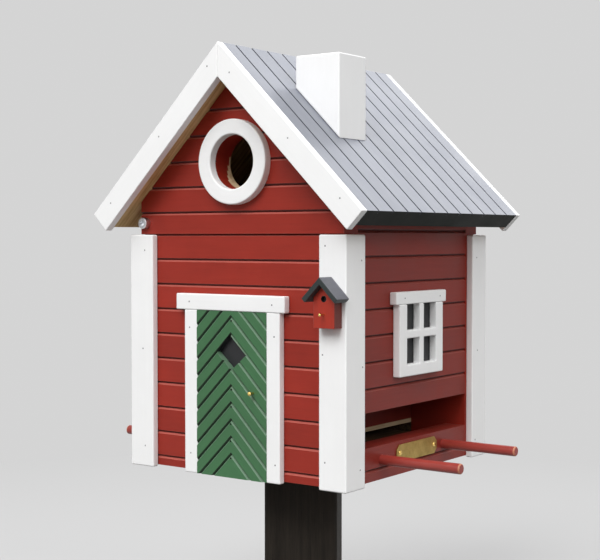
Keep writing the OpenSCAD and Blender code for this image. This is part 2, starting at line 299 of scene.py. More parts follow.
@dataclass(frozen=True)
class PaintedWood:
    """Brushed paint over planed pine, with the grain showing through faintly."""

    name: str
    colour: Colour
    grain: Grain
    roughness: float = 0.42
    contrast: float = 0.16
    relief: float = 0.05 * MM
    wear: float = 0.25
    worn: Colour = srgb(190, 150, 130)
    edge: float = 0.5 * MM
    boards: Boards | None = None
    coat: float = 0.0
    coat_roughness: float = 0.22
    specular: float = 0.45
    stretch: float = 16.0
    streak_scale: float = 620.0
    brush_scale: float = 2600.0
    cloud_scale: float = 34.0
    chip_scale: float = 420.0
    skin_scale: float = 1500.0

    def material(self) -> bpy.types.Material:
        """Builds the finish.

        Returns:
            The material.
        """
        g = Graph(bpy.data.materials.new(self.name))
        grain = g.along(self.grain, self.stretch)
        streaks = g.noise(grain, self.streak_scale, 4.0)
        brush = g.noise(grain, self.brush_scale, 2.0)
        cloud = g.noise(g.space, self.cloud_scale)
        parts = [(streaks, 0.7), (cloud, 1.1), (brush, 0.25)]
        if self.boards:
            parts.append((g.board_tone(self.boards), 0.55))
        low = toned(self.colour, 1 - self.contrast)
        high = toned(self.colour, 1 + self.contrast)
        colour = g.mix(g.weigh(parts), low, high)
        chips = g.spread(g.noise(g.space, self.chip_scale, 4.0), 0.45, 0.62, 0.0, self.wear)
        colour = g.mix(g.maths("MULTIPLY", g.edges(self.edge), chips), colour, self.worn)
        rough = g.spread(cloud, 0.3, 0.7, self.roughness - 0.06, self.roughness + 0.08)
        skin = g.noise(g.space, self.skin_scale, 2.0)
        normal = g.bump(g.weigh([(streaks, 1.0), (brush, 0.35)]), self.relief)
        normal = g.bump(skin, self.relief * 0.3, normal)
        gloss = {"Coat Weight": self.coat, "Coat Roughness": self.coat_roughness}
        return g.close(colour, rough, normal, {**gloss, "Specular IOR Level": self.specular})


@dataclass(frozen=True)
class BarePine:
    """Planed pine without paint, with darker growth lines."""

    name: str
    grain: Grain
    light: Colour = srgb(226, 204, 170)
    dark: Colour = srgb(196, 164, 124)
    specular: float = 0.3
    stretch: float = 18.0
    ring_scale: float = 420.0
    fibre_scale: float = 3400.0
    cloud_scale: float = 40.0
    relief: float = 0.09 * MM

    def material(self) -> bpy.types.Material:
        """Builds the finish.

        Returns:
            The material.
        """
        g = Graph(bpy.data.materials.new(self.name))
        grain = g.along(self.grain, self.stretch)
        rings = g.noise(grain, self.ring_scale, 6.0)
        fibres = g.noise(grain, self.fibre_scale, 2.0)
        cloud = g.noise(g.space, self.cloud_scale)
        share = g.spread(g.weigh([(rings, 1.6), (fibres, 0.5), (cloud, 0.5)]), 0.25, 0.75, 0.0, 1.0)
        colour = g.mix(share, self.dark, self.light)
        normal = g.bump(g.weigh([(rings, 0.6), (fibres, 0.5)]), self.relief)
        rough = g.spread(fibres, 0.3, 0.7, 0.62, 0.8)
        return g.close(colour, rough, normal, {"Specular IOR Level": self.specular})


@dataclass(frozen=True)
class StainedPost:
    """Dark stain soaked into sawn timber, with open grain."""

    name: str
    colour: Colour
    specular: float = 0.15
    stretch: float = 22.0
    ring_scale: float = 260.0
    fibre_scale: float = 1500.0
    cloud_scale: float = 22.0
    edge: float = 1.2 * MM
    relief: float = 0.22 * MM

    def material(self) -> bpy.types.Material:
        """Builds the finish.

        Returns:
            The material.
        """
        g = Graph(bpy.data.materials.new(self.name))
        grain = g.along(Grain.UPRIGHT, self.stretch)
        rings = g.noise(grain, self.ring_scale, 6.0)
        fibres = g.noise(grain, self.fibre_scale, 4.0)
        cloud = g.noise(g.space, self.cloud_scale)
        share = g.spread(g.weigh([(rings, 1.3), (fibres, 0.8), (cloud, 0.6)]), 0.25, 0.75, 0.0, 1.0)
        colour = g.mix(share, toned(self.colour, 0.62), toned(self.colour, 1.45))
        colour = g.mix(g.maths("MULTIPLY", g.edges(self.edge), 0.3), colour, toned(self.colour, 2.2))
        normal = g.bump(g.weigh([(rings, 0.7), (fibres, 0.7)]), self.relief)
        rough = g.spread(fibres, 0.3, 0.7, 0.6, 0.78)
        return g.close(colour, rough, normal, {"Specular IOR Level": self.specular})


@dataclass(frozen=True)
class Metal:
    """Brushed or plated metal with a tarnish."""

    name: str
    colour: Colour
    tarnish: Colour
    roughness: float
    tarnished: float
    brushed: float = 30.0
    relief: float = 0.02 * MM
    line_scale: float = 4200.0
    cloud_scale: float = 160.0
    spot_scale: float = 1700.0

    def material(self) -> bpy.types.Material:
        """Builds the finish.

        Returns:
            The material.
        """
        g = Graph(bpy.data.materials.new(self.name))
        lines = g.noise(g.along(Grain.UPRIGHT, self.brushed), self.line_scale)
        cloud = g.noise(g.space, self.cloud_scale)
        spots = g.noise(g.space, self.spot_scale)
        blotches = g.weigh([(cloud, 0.9), (spots, 0.3), (lines, 0.6)])
        share = g.spread(blotches, 0.25, 0.75, 0.0, self.tarnished)
        colour = g.mix(share, self.colour, self.tarnish)
        dulled = g.weigh([(lines, 0.8), (cloud, 0.8)])
        rough = g.spread(dulled, 0.2, 0.8, self.roughness, self.roughness + 0.15)
        return g.close(colour, rough, g.bump(lines, self.relief), {"Metallic": 1.0})


@cache
def dressed(finish: object) -> bpy.types.Material:
    """Returns the finish's material, made once."""
    return finish.material()


RED = srgb(147, 43, 31)
# Darker copy of the red for faces along the depth: the side walls' painted shade.
SIDE_SHADE_RED = srgb(127, 42, 33)
# Lighter red for the grooves' upward walls, a painted highlight; the sides' copy is dimmer, as their
# painted shade.
PAINTED_HIGHLIGHT_RED = srgb(178, 88, 78)
SIDE_PAINTED_HIGHLIGHT_RED = srgb(136, 60, 52)
# Dark red for the grooves' downward walls: painted shade.
SHADED_RED = srgb(70, 20, 15)
GREEN = srgb(58, 104, 66)
# Lighter green for the door grooves' upward walls and its lit reveal: painted highlight.
PAINTED_HIGHLIGHT_GREEN = srgb(94, 126, 100)
# Dark green for the door grooves' downward walls: painted shade.
SHADED_GREEN = srgb(24, 44, 26)
WHITE = srgb(245, 245, 245)


def red(grain: Grain, boards: Boards | None = None, name: str = "red_paint") -> PaintedWood:
    """Returns the walls' red paint for one way of the grain; the sides' is a darker, browner copy that is
    painted shade.
    """
    colour = RED if grain is Grain.ACROSS else SIDE_SHADE_RED
    return PaintedWood(f"{name}_{grain.name.lower()}", colour, grain, boards=boards, specular=0.28)


def white(grain: Grain) -> PaintedWood:
    """Returns the trim's white paint for one way of the grain."""
    name = f"white_paint_{grain.name.lower()}"
    return PaintedWood(name, WHITE, grain, 0.5, 0.03, 0.015 * MM, 0.3, srgb(196, 190, 178))


def pine(grain: Grain) -> BarePine:
    """Returns the bare wood for one way of the grain."""
    return BarePine(f"bare_pine_{grain.name.lower()}", grain)


BLACK = PaintedWood("black_paint", srgb(30, 30, 33), Grain.UPRIGHT, 0.38, 0.2, wear=0.0)
BRASS = Metal("aged_brass", srgb(190, 164, 98), srgb(138, 114, 60), 0.42, 0.75, relief=0.002 * MM)
BRIGHT_BRASS = Metal("bright_brass", srgb(232, 200, 120), srgb(150, 118, 60), 0.18, 0.3)
ZINC = Metal("zinc_steel", srgb(226, 227, 230), srgb(140, 142, 146), 0.22, 0.4)
NAIL_GREY = Metal("nail_grey", srgb(168, 168, 170), srgb(106, 104, 102), 0.5, 0.8)


@dataclass(frozen=True)
class Face:
    """A flat face that things are drawn on, with its rightward and outward directions."""

    origin: Vector
    right: Vector
    out: Vector

    @property
    def up(self) -> Vector:
        """Upward direction on the face."""
        return self.out.cross(self.right)

    def at(self, u: float, v: float, n: float = 0.0) -> Vector:
        """Returns the point u to the right, v up and n outward of the origin."""
        return self.origin + u * self.right + v * self.up + n * self.out


class Solid:
    """A closed mesh under construction."""

    def __init__(self) -> None:
        """Starts empty."""
        self.mesh = bmesh.new()

    @classmethod
    def loft(cls, rings: Sequence[Sequence[Vector]], closed: bool = False) -> "Solid":
        """Joins rings of points into a skin.

        Args:
            rings: Outlines with equally many points each.
            closed: Whether the last ring joins the first, in place of two end caps.

        Returns:
            The solid.
        """
        solid = cls()
        rows = [[solid.mesh.verts.new(point) for point in ring] for ring in rings]
        count = len(rows[0])
        pairs = list(zip(rows, rows[1:]))
        if closed:
            pairs.append((rows[-1], rows[0]))
        else:
            solid.mesh.faces.new(rows[0])
            solid.mesh.faces.new(rows[-1])
        for near, far in pairs:
            for i in range(count):
                j = (i + 1) % count
                solid.mesh.faces.new((near[i], near[j], far[j], far[i]))
        bmesh.ops.recalc_face_normals(solid.mesh, faces=solid.mesh.faces)
        return solid

    @classmethod
    def prism(cls, face: Face, outline: Iterable[Point], near: float, far: float) -> "Solid":
        """Returns an outline drawn on a face, made solid between two offsets from it."""
        points = list(outline)
        return cls.loft([[face.at(u, v, n) for u, v in points] for n in (near, far)])

    @classmethod
    def run(cls, face: Face, profile: Iterable[Point], start: float, end: float) -> "Solid":
        """Returns a profile of heights and offsets, run rightward along a face."""
        points = list(profile)
        return cls.loft([[face.at(u, v, n) for v, n in points] for u in (start, end)])

    @classmethod
    def turned(cls, face: Face, profile: Iterable[Point], steps: int = 48, closed: bool = False) -> "Solid":
        """Turns a profile about a face's outward axis.

        Args:
            face: Face whose origin the axis passes through.
            profile: Radius and outward offset of each point.
            steps: Number of steps round the turn.
            closed: Whether the profile is a closed loop, as on a ring.

        Returns:
            The solid.
        """
        turn = [2 * math.pi * i / steps for i in range(steps)]
        rings = [[face.at(r * math.cos(a), r * math.sin(a), n) for a in turn] for r, n in profile]
        return cls.loft(rings, closed)

    def trim(self, point: Vector, normal: Vector, fill: bool = True) -> "Solid":
        """Cuts away what lies beyond a plane.

        Args:
            point: A point on the plane.
            normal: Direction of the side that is cut away.
            fill: Whether the cut is closed with a face.

        Returns:
            The same solid.
        """
        mesh = self.mesh
        geometry = [*mesh.verts, *mesh.edges, *mesh.faces]
        cut = bmesh.ops.bisect_plane(
            mesh, geom=geometry, dist=CUT_REACH, plane_co=point, plane_no=normal, clear_outer=True
        )
        edges = [part for part in cut["geom_cut"] if isinstance(part, bmesh.types.BMEdge)]
        if fill and edges:
            bmesh.ops.edgeloop_fill(mesh, edges=edges)
            bmesh.ops.recalc_face_normals(mesh, faces=mesh.faces)
        return self

    def score(self, point: Vector, normal: Vector) -> "Solid":
        """Divides the faces along a plane, so that each side can have its own finish.

        Args:
            point: A point on the plane.
            normal: Direction square to the plane.

        Returns:
            The same solid.
        """
        geometry = [*self.mesh.verts, *self.mesh.edges, *self.mesh.faces]
        bmesh.ops.bisect_plane(self.mesh, geom=geometry, dist=CUT_REACH, plane_co=point, plane_no=normal)
        return self

    def paint(self, index: int, chosen: Callable[[Vector, Vector], bool]) -> "Solid":
        """Gives faces a finish by number.

        Args:
            index: Number of the finish.
            chosen: Tells from a face's middle and normal whether it has this finish.

        Returns:
            The same solid.
        """
        self.mesh.normal_update()
        for part in self.mesh.faces:
            if chosen(part.calc_center_median(), part.normal):
                part.material_index = index
        return self

    def add(self, other: "Solid") -> "Solid":
        """Takes in another solid's mesh.

        Args:
            other: The other solid, which is used up.

        Returns:
            The same solid.
        """
        other.mesh.verts.index_update()
        verts = [self.mesh.verts.new(vert.co) for vert in other.mesh.verts]
        for part in other.mesh.faces:
            made = self.mesh.faces.new([verts[vert.index] for vert in part.verts])
            made.material_index = part.material_index
        other.mesh.free()
        return self

    def weld(self) -> "Solid":
        """Merges points that coincide.

        Returns:
            The same solid.
        """
        bmesh.ops.remove_doubles(self.mesh, verts=self.mesh.verts, dist=WELD_REACH)
        bmesh.ops.recalc_face_normals(self.mesh, faces=self.mesh.faces)
        return self

    def raw(self, name: str) -> bpy.types.Object:
        """Turns the mesh into an object as it is.

        Args:
            name: Name of the object.

        Returns:
            The object, with empty places for its finishes.
        """
        data = bpy.data.meshes.new(name)
        self.mesh.to_mesh(data)
        self.mesh.free()
        for _ in range(MOST_FINISHES):
            data.materials.append(None)
        made = bpy.data.objects.new(name, data)
        bpy.context.scene.collection.objects.link(made)
        return made

    def piece(
        self, name: str, ease: float = 0.0, bores: Sequence["Solid"] = (), steps: int = 2
    ) -> bpy.types.Object:
        """Turns the mesh into a finished object.

        Args:
            name: Name of the object.
            ease: Width by which sharp edges are rounded.
            bores: Solids that are cut out of it after its edges are rounded.
            steps: Number of facets across a rounded edge.

        Returns:
            The object, with nothing left to apply.
        """
        made = self.raw(name)
        if ease:
            bevel = made.modifiers.new("ease", "BEVEL")
            bevel.width = ease
            bevel.segments = steps
            bevel.limit_method = "ANGLE"
            bevel.angle_limit = EASED_FROM
        cutters = [bore.raw(f"{name}_cutter_{i}") for i, bore in enumerate(bores)]
        for cutter in cutters:
            bore = made.modifiers.new("bore", "BOOLEAN")
            bore.operation = "DIFFERENCE"
            bore.solver = "EXACT"
            bore.object = cutter
        settle(made)
        for part in made.data.polygons:
            part.use_smooth = True
        made.data.set_sharp_from_angle(angle=SHARP_FROM)
        weighted = made.modifiers.new("normals", "WEIGHTED_NORMAL")
        weighted.keep_sharp = True
        settle(made)
        made.data.name = name
        for cutter in cutters:
            bpy.data.objects.remove(cutter)
        return made


def settle(made: bpy.types.Object) -> None:
    """Applies every modifier of an object.

    Args:
        made: The object.
    """
    graph = bpy.context.evaluated_depsgraph_get()
    graph.update()
    settled = made.evaluated_get(graph)
    data = bpy.data.meshes.new_from_object(settled, preserve_all_data_layers=True, depsgraph=graph)
    made.modifiers.clear()
    made.data = data


def groove_walls(grain: Grain) -> list[PaintedWood]:
    """Makes the finishes of a red groove's two walls: a painted highlight with some edge wear on the lower
    wall, painted shade on the upper one.

    Args:
        grain: Way of the board's grain.

    Returns:
        The two finishes.
    """
    painted_highlight = PAINTED_HIGHLIGHT_RED if grain is Grain.ACROSS else SIDE_PAINTED_HIGHLIGHT_RED
    way = grain.name.lower()
    return [
        PaintedWood(f"faded_red_{way}", painted_highlight, grain, 0.4, 0.12, wear=0.2),
        PaintedWood(f"groove_red_{way}", SHADED_RED, grain, 0.6, 0.15, wear=0.0),
    ]


def tint_grooves(solid: Solid, face: Face, number: int) -> None:
    """Numbers the finishes of the grooves' walls: painted highlight where they look up, painted shade where
    they look down.

    Args:
        solid: Board with grooves that run rightward on the face.
        face: The board's outer face.
        number: Finish of the walls that look upward, the painted highlight; those that look down take the
            next one, the painted shade.
    """
    up, out = face.up, face.out
    solid.paint(number, lambda middle, normal: normal.dot(out) > 0.3 and normal.dot(up) > 0.4)
    solid.paint(number + 1, lambda middle, normal: normal.dot(out) > -0.1 and normal.dot(up) < -0.4)


def hand_over(
    piece: bpy.types.Object, body: str, nodes: Sequence[str], finishes: Sequence[object]
) -> bpy.types.Object:
    """Dresses a piece in its finishes, puts it on its body and hides the nodes that it stands for.

    Args:
        piece: The finished object.
        body: Body that it moves with.
        nodes: Nodes that it replaces.
        finishes: Its finishes, in the order of their numbers.

    Returns:
        The same object.
    """
    slots = piece.data.materials
    for number, finish in enumerate(finishes):
        slots[number] = dressed(finish)
    while len(slots) > len(finishes):
        slots.pop()
    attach(piece, body)
    if nodes:
        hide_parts(*nodes)
    log.info("%s: %d faces on %s", piece.name, len(piece.data.polygons), body)
    return piece


@dataclass(frozen=True)
class Groove:
    """A V groove across a board's profile, with the joint's slit at its bottom."""

    place: float
    width: float = 2.2 * MM
    depth: float = 1.15 * MM
    slit: float = 0.2 * MM
    slit_depth: float = 0.6 * MM

    def section(self) -> list[Point]:
        """Draws the groove.

        Returns:
            Its outline as places and offsets.
        """
        half, slit, low = self.width / 2, self.slit / 2, self.depth + self.slit_depth
        falling = [(-half, 0.0), (-slit, -self.depth), (-slit, -low)]
        rising = [(slit, -low), (slit, -self.depth), (half, 0.0)]
        return [(self.place + u, n) for u, n in falling + rising]


def grooved(low: float, high: float, depth: float, grooves: Iterable[Groove]) -> list[Point]:
    """Draws a board's section with V grooves in its outer face.

    Args:
        low: Where the section starts.
        high: Where it ends.
        depth: Thickness of the board.
        grooves: Grooves, in rising order; those outside the board are left out.

    Returns:
        The section's points as places and offsets.
    """
    points = [(low, -depth), (low, 0.0)]
    for groove in grooves:
        if low + groove.width < groove.place < high - groove.width:
            points += groove.section()
    return [*points, (high, 0.0), (high, -depth)]


def rectangle(low: Point, high: Point) -> list[Point]:
    """Returns the corners of a rectangle."""
    return [(low[0], low[1]), (high[0], low[1]), (high[0], high[1]), (low[0], high[1])]


@dataclass(frozen=True)
class House:
    """Places that several sub-assemblies share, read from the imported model."""

    front: float
    back: float
    side: float
    inner: float
    base: float
    rest: float

    @classmethod
    def from_frame(cls) -> "House":
        """Reads the places.

        Returns:
            The house's shared places.
        """
        front_low, front_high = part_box("front_wall")
        right_low, right_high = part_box("right_wall")
        rest = right_high.z + right_low.x * math.tan(PITCH)
        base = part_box("front_left_corner_board")[0].z
        return cls(front_low.y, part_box("back_wall")[1].y, front_high.x, right_low.x, base, rest)

    @property
    def middle(self) -> float:
        """Middle of the depth."""
        return (self.front + self.back) / 2

    def front_face(self) -> Face:
        """Front wall's outer face, drawn from the middle of its lower edge line."""
        return Face(Vector((0, self.front, self.base)), Vector((1, 0, 0)), Vector((0, -1, 0)))

    def back_face(self) -> Face:
        """Back wall's outer face."""
        return Face(Vector((0, self.back, self.base)), Vector((-1, 0, 0)), Vector((0, 1, 0)))

    def side_face(self, hand: int) -> Face:
        """Outer face of the right (1) or left (-1) wall, drawn from the middle of the depth."""
        origin = Vector((hand * self.side, self.middle, self.base))
        return Face(origin, Vector((0, hand, 0)), Vector((hand, 0, 0)))


class SubAssembly(ABC):
    """A part of the nest box that builds and dresses its own meshes."""

    @abstractmethod
    def build(self, house: House) -> None:
        """Builds and dresses the sub-assembly.

        Args:
            house: The house's shared places.
        """


@dataclass(frozen=True)
class Post(SubAssembly):
    """Square post with eased edges, turned on the ground."""

    side: float = 45 * MM
    ease: float = 3 * MM
    corner_steps: int = 6
    turn: float = math.radians(30)
    colour: Colour = srgb(42, 37, 32)

    def build(self, house: House) -> None:
        """Builds and dresses the post.

        Args:
            house: The house's shared places.
        """
        low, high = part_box("post")
        right = Vector((math.cos(self.turn), math.sin(self.turn), 0))
        half = self.side / 2
        face = Face(Vector((0, 0, low.z)), right, Vector((0, 0, 1)))
        outline = []
        for quarter in range(4):
            for step in range(self.corner_steps + 1):
                angle = math.pi / 2 * (quarter + step / self.corner_steps)
                middle = math.pi / 2 * quarter + math.pi / 4
                reach = (half - self.ease) * math.sqrt(2)
                u = reach * math.cos(middle) + self.ease * math.cos(angle)
                v = reach * math.sin(middle) + self.ease * math.sin(angle)
                outline.append((u, v))
        made = Solid.prism(face, outline, 0.0, high.z - low.z).piece("post_timber", 0.5 * MM)
        hand_over(made, "house", ["post"], [StainedPost("dark_post", self.colour)])


@dataclass(frozen=True)
class Walls(SubAssembly):
    """Grooved walls, tray boards and inner panels."""

    first_front: float = 6.4 * MM
    first_side: float = 54.0 * MM
    first_gable: float = 155.4 * MM
    tray_groove: float = 7.3 * MM
    joint: Groove = Groove(142.3 * MM, width=1.3 * MM, depth=0.4 * MM, slit=0.9 * MM, slit_depth=3.0 * MM)
    ease: float = 0.15 * MM
    rail_ease: float = 0.3 * MM
    bolt_bore_radius: float = 2.05 * MM
    bolt_bore_depth: float = 20 * MM
    overcut: float = 2 * MM
    # Dark pine for faces inside the box and for the floor: painted shade.
    shaded_pine: BarePine = BarePine("painted_shade_pine", Grain.DEEP, srgb(104, 82, 58), srgb(58, 44, 31))
    raw_lip: float = 6.5 * MM
    raw_drop: float = 11 * MM
    raw_slope: float = 2.2
    raw_slices: int = 5
    raw_edge: float = 2.8 * MM

    def front_grooves(self) -> list[Groove]:
        """Lists the front wall's grooves.

        Returns:
            The grooves, from the bottom to the gable's tip.
        """
        body = [Groove(self.first_front + i * BOARD_PITCH) for i in range(9)]
        gable = [Groove(self.first_gable + i * BOARD_PITCH) for i in range(6)]
        return [*body, self.joint, *gable]

    def gable_wall(self, house: House, name: str, face: Face, bores: Sequence[Solid]) -> None:
        """Builds a front or back wall.

        Args:
            house: The house's shared places.
            name: The wall's node.
            face: Its outer face.
            bores: What is cut out of it.
        """
        low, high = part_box(name)
        thick = high.y - low.y
        section = grooved(low.z - house.base, high.z - house.base, thick, self.front_grooves())
        wall = Solid.run(face, section, -house.side, house.side)
        tip = Vector((0, 0, house.rest))
        for hand in HANDS.values():
            wall.trim(tip, Vector((hand * math.sin(PITCH), 0, math.cos(PITCH))))
        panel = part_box("right_inner_panel")[1]
        for hand in HANDS.values():
            wall.score(Vector((hand * panel.x, 0, 0)), Vector((1, 0, 0)))
        wall.score(Vector((0, 0, panel.z)), Vector((0, 0, 1)))

        def bare(middle: Vector, normal: Vector) -> bool:
            """Tells whether a face looks into the nest cavity."""
            return normal.dot(face.out) < -0.9 and (abs(middle.x) < panel.x or middle.z > panel.z)

        # Faces into the nest cavity take the dark pine: painted shade.
        wall.paint(1, bare)
        tint_grooves(wall, face, 3)
        made = wall.piece(f"{name}_boards", self.ease, bores)
        rows = Boards(Axis.Z, house.base + self.first_front)
        finishes = [red(Grain.ACROSS, rows, "red_boards"), self.shaded_pine, pine(Grain.ACROSS)]
        finishes += groove_walls(Grain.ACROSS)
        hand_over(made, "house", [name], finishes)

    def bolt_bore(self, face: Face, bolt: str) -> Solid:
        """Cuts the bore in which a hinge bolt turns.

        Args:
            face: The wall's outer face.
            bolt: The bolt's node.

        Returns:
            The bore's solid.
        """
        low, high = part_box(bolt)
        middle = Vector(((low.x + high.x) / 2, face.origin.y, (low.z + high.z) / 2))
        ends = [(self.bolt_bore_radius, self.overcut), (self.bolt_bore_radius, -self.bolt_bore_depth)]
        return Solid.turned(Face(middle, face.right, face.out), ends, 32)

    def entrance_bore(self, house: House) -> Solid:
        """Cuts the entrance: painted at the front, raw near the inner face below a slanted line; above it
        the red is painted shade.

        Args:
            house: The house's shared places.

        Returns:
            The bore's solid.
        """
        low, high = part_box("front_wall")
        thick = high.y - low.y
        ring_low, ring_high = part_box("entrance_ring")
        centre = Vector((0, house.front, (ring_low.z + ring_high.z) / 2))
        face = Face(centre, Vector((1, 0, 0)), Vector((0, -1, 0)))
        slices = [self.raw_lip * i / self.raw_slices - thick for i in range(self.raw_slices, 0, -1)]
        depths = [self.overcut, *slices, -thick - self.overcut]
        bore = Solid.turned(face, [(ENTRANCE_RADIUS, n) for n in depths], 96)
        raw = house.front + thick - self.raw_lip
        start = centre.z - self.raw_drop

        def bare(middle: Vector, normal: Vector) -> bool:
            """Tells whether this part of the bore shows raw wood; the raw lip above the slanted line keeps
            the red as painted shade.
            """
            return middle.y > raw and middle.z < start + self.raw_slope * (middle.y - raw)

        return bore.paint(2, bare)

    def side_wall(self, house: House, side: str) -> None:
        """Builds a side wall above the feed slot.

        Args:
            house: The house's shared places.
            side: Side's name.
        """
        hand = HANDS[side]
        name = f"{side}_wall"
        low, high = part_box(name)
        face = house.side_face(hand)
        grooves = [Groove(self.first_side + i * BOARD_PITCH) for i in range(7)]
        section = grooved(low.z - house.base, high.z - house.base, high.x - low.x, grooves)
        half = (high.y - low.y) / 2
        wall = Solid.run(face, section, -half, half)
        if side == "right":
            wall.trim(Vector((0, 0, house.rest)), Vector((math.sin(PITCH), 0, math.cos(PITCH))))
        # Inner faces take the dark pine: painted shade.
        wall.paint(1, lambda middle, normal: normal.x * hand < -0.9)
        tint_grooves(wall, face, 2)
        made = wall.piece(f"{name}_boards", self.ease)
        rows = Boards(Axis.Z, house.base + self.first_side)
        finishes = [red(Grain.DEEP, rows, "red_boards"), self.shaded_pine, *groove_walls(Grain.DEEP)]
        hand_over(made, "house", [name], finishes)

    def tray_board(self, house: House, side: str) -> None:
        """Builds a tray's side board.

        Args:
            house: The house's shared places.
            side: Side's name.
        """
        hand = HANDS[side]
        name = f"{side}_tray_board"
        low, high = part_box(name)
        face = house.side_face(hand)
        half = (high.y - low.y) / 2
        groove = Groove(self.tray_groove)
        section = grooved(low.z - house.base, high.z - house.base, high.x - low.x, [groove])
        rail = Solid.run(face, section, -half, half)
        tint_grooves(rail, face, 1)
        made = rail.piece(f"{name}_rail", self.rail_ease)
        hand_over(made, "house", [name], [red(Grain.DEEP), *groove_walls(Grain.DEEP)])

    def inner_panel(self, side: str) -> None:
        """Builds an inner panel, whose lower edge was never painted.

        Args:
            side: Side's name.
        """
        name = f"{side}_inner_panel"
        low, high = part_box(name)
        hand = HANDS[side]
        face = Face(Vector((0, 0, low.z)), Vector((1, 0, 0)), Vector((0, -1, 0)))
        panel = Solid.prism(face, rectangle((low.x, 0.0), (high.x, high.z - low.z)), -low.y, -high.y)
        lip = low.z + self.raw_edge
        panel.score(Vector((0, 0, lip)), Vector((0, 0, 1)))
        panel.paint(1, lambda middle, normal: middle.z < lip)
        # The side facing the nest cavity takes the dark pine: painted shade.
        panel.paint(2, lambda middle, normal: normal.x * hand < -0.9)
        made = panel.piece(f"{name}_board", self.rail_ease)
        hand_over(made, "house", [name], [red(Grain.DEEP), pine(Grain.DEEP), self.shaded_pine])

    def build(self, house: House) -> None:
        """Builds and dresses every wall.

        Args:
            house: The house's shared places.
        """
        front, back = house.front_face(), house.back_face()
        bores = [self.entrance_bore(house), self.bolt_bore(front, "front_hinge_bolt")]
        self.gable_wall(house, "front_wall", front, bores)
        self.gable_wall(house, "back_wall", back, [self.bolt_bore(back, "back_hinge_bolt")])
        for side in HANDS:
            self.side_wall(house, side)
            self.tray_board(house, side)
            self.inner_panel(side)
        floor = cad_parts["floor"]
        # The floor takes the dark pine: painted shade.
        floor.data.materials.clear()
        floor.data.materials.append(dressed(self.shaded_pine))


@dataclass(frozen=True)
class CornerBoards(SubAssembly):
    """White mouldings over the house's four corners."""

    thick: float = 4.8 * MM
    front_width: float = 18.4 * MM
    ease: float = 0.9 * MM

    def build(self, house: House) -> None:
        """Builds and dresses the four boards.

        Args:
            house: The house's shared places.
        """
        for end, wall, sign in (("front", house.front, -1), ("back", house.back, 1)):
            for side, hand in HANDS.items():
                name = f"{end}_{side}_corner_board"
                low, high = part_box(name)
                t, edge, reach = self.thick, self.thick - self.front_width, high.y - low.y - self.thick
                outline = [(t, -t), (t, reach), (0, reach), (0, 0), (edge, 0), (edge, -t)]
                rings = [
                    [Vector((hand * (house.side + u), wall - sign * v, z)) for u, v in outline]
                    for z in (low.z, high.z)
                ]
                made = Solid.loft(rings).piece(f"{name}_moulding", self.ease, steps=3)
                hand_over(made, "house", [name], [white(Grain.UPRIGHT)])


@dataclass(frozen=True)
class Entrance(SubAssembly):
    """White ring round the entrance hole."""

    ease: float = 0.9 * MM
    ease_steps: int = 4

    def build(self, house: House) -> None:
        """Builds and dresses the ring.

        Args:
            house: The house's shared places.
        """
        low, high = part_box("entrance_ring")
        outer = (high.x - low.x) / 2
        depth = high.y - low.y
        face = Face(Vector((0, house.front, (low.z + high.z) / 2)), Vector((1, 0, 0)), Vector((0, -1, 0)))
        profile = [(ENTRANCE_RADIUS, 0.0), (outer, 0.0), *self.rim(outer, depth, -1)]
        profile += self.rim(ENTRANCE_RADIUS, depth, 1)
        made = Solid.turned(face, profile, 128, closed=True).piece("entrance_ring_turning")
        hand_over(made, "house", ["entrance_ring"], [white(Grain.ACROSS)])

    def rim(self, radius: float, depth: float, turn: int) -> list[Point]:
        """Rounds one front edge of the ring.

        Args:
            radius: Radius of the edge.
            depth: Thickness of the ring.
            turn: 1 for the inner edge, -1 for the outer one.

        Returns:
            The rounded edge's points, in the order of the ring's outline.
        """
        angles = [math.pi / 2 * step / self.ease_steps for step in range(self.ease_steps + 1)]
        arc = [
            (radius + turn * self.ease * (1 - math.cos(angle)), depth - self.ease * (1 - math.sin(angle)))
            for angle in angles
        ]
        return arc if turn < 0 else arc[::-1]


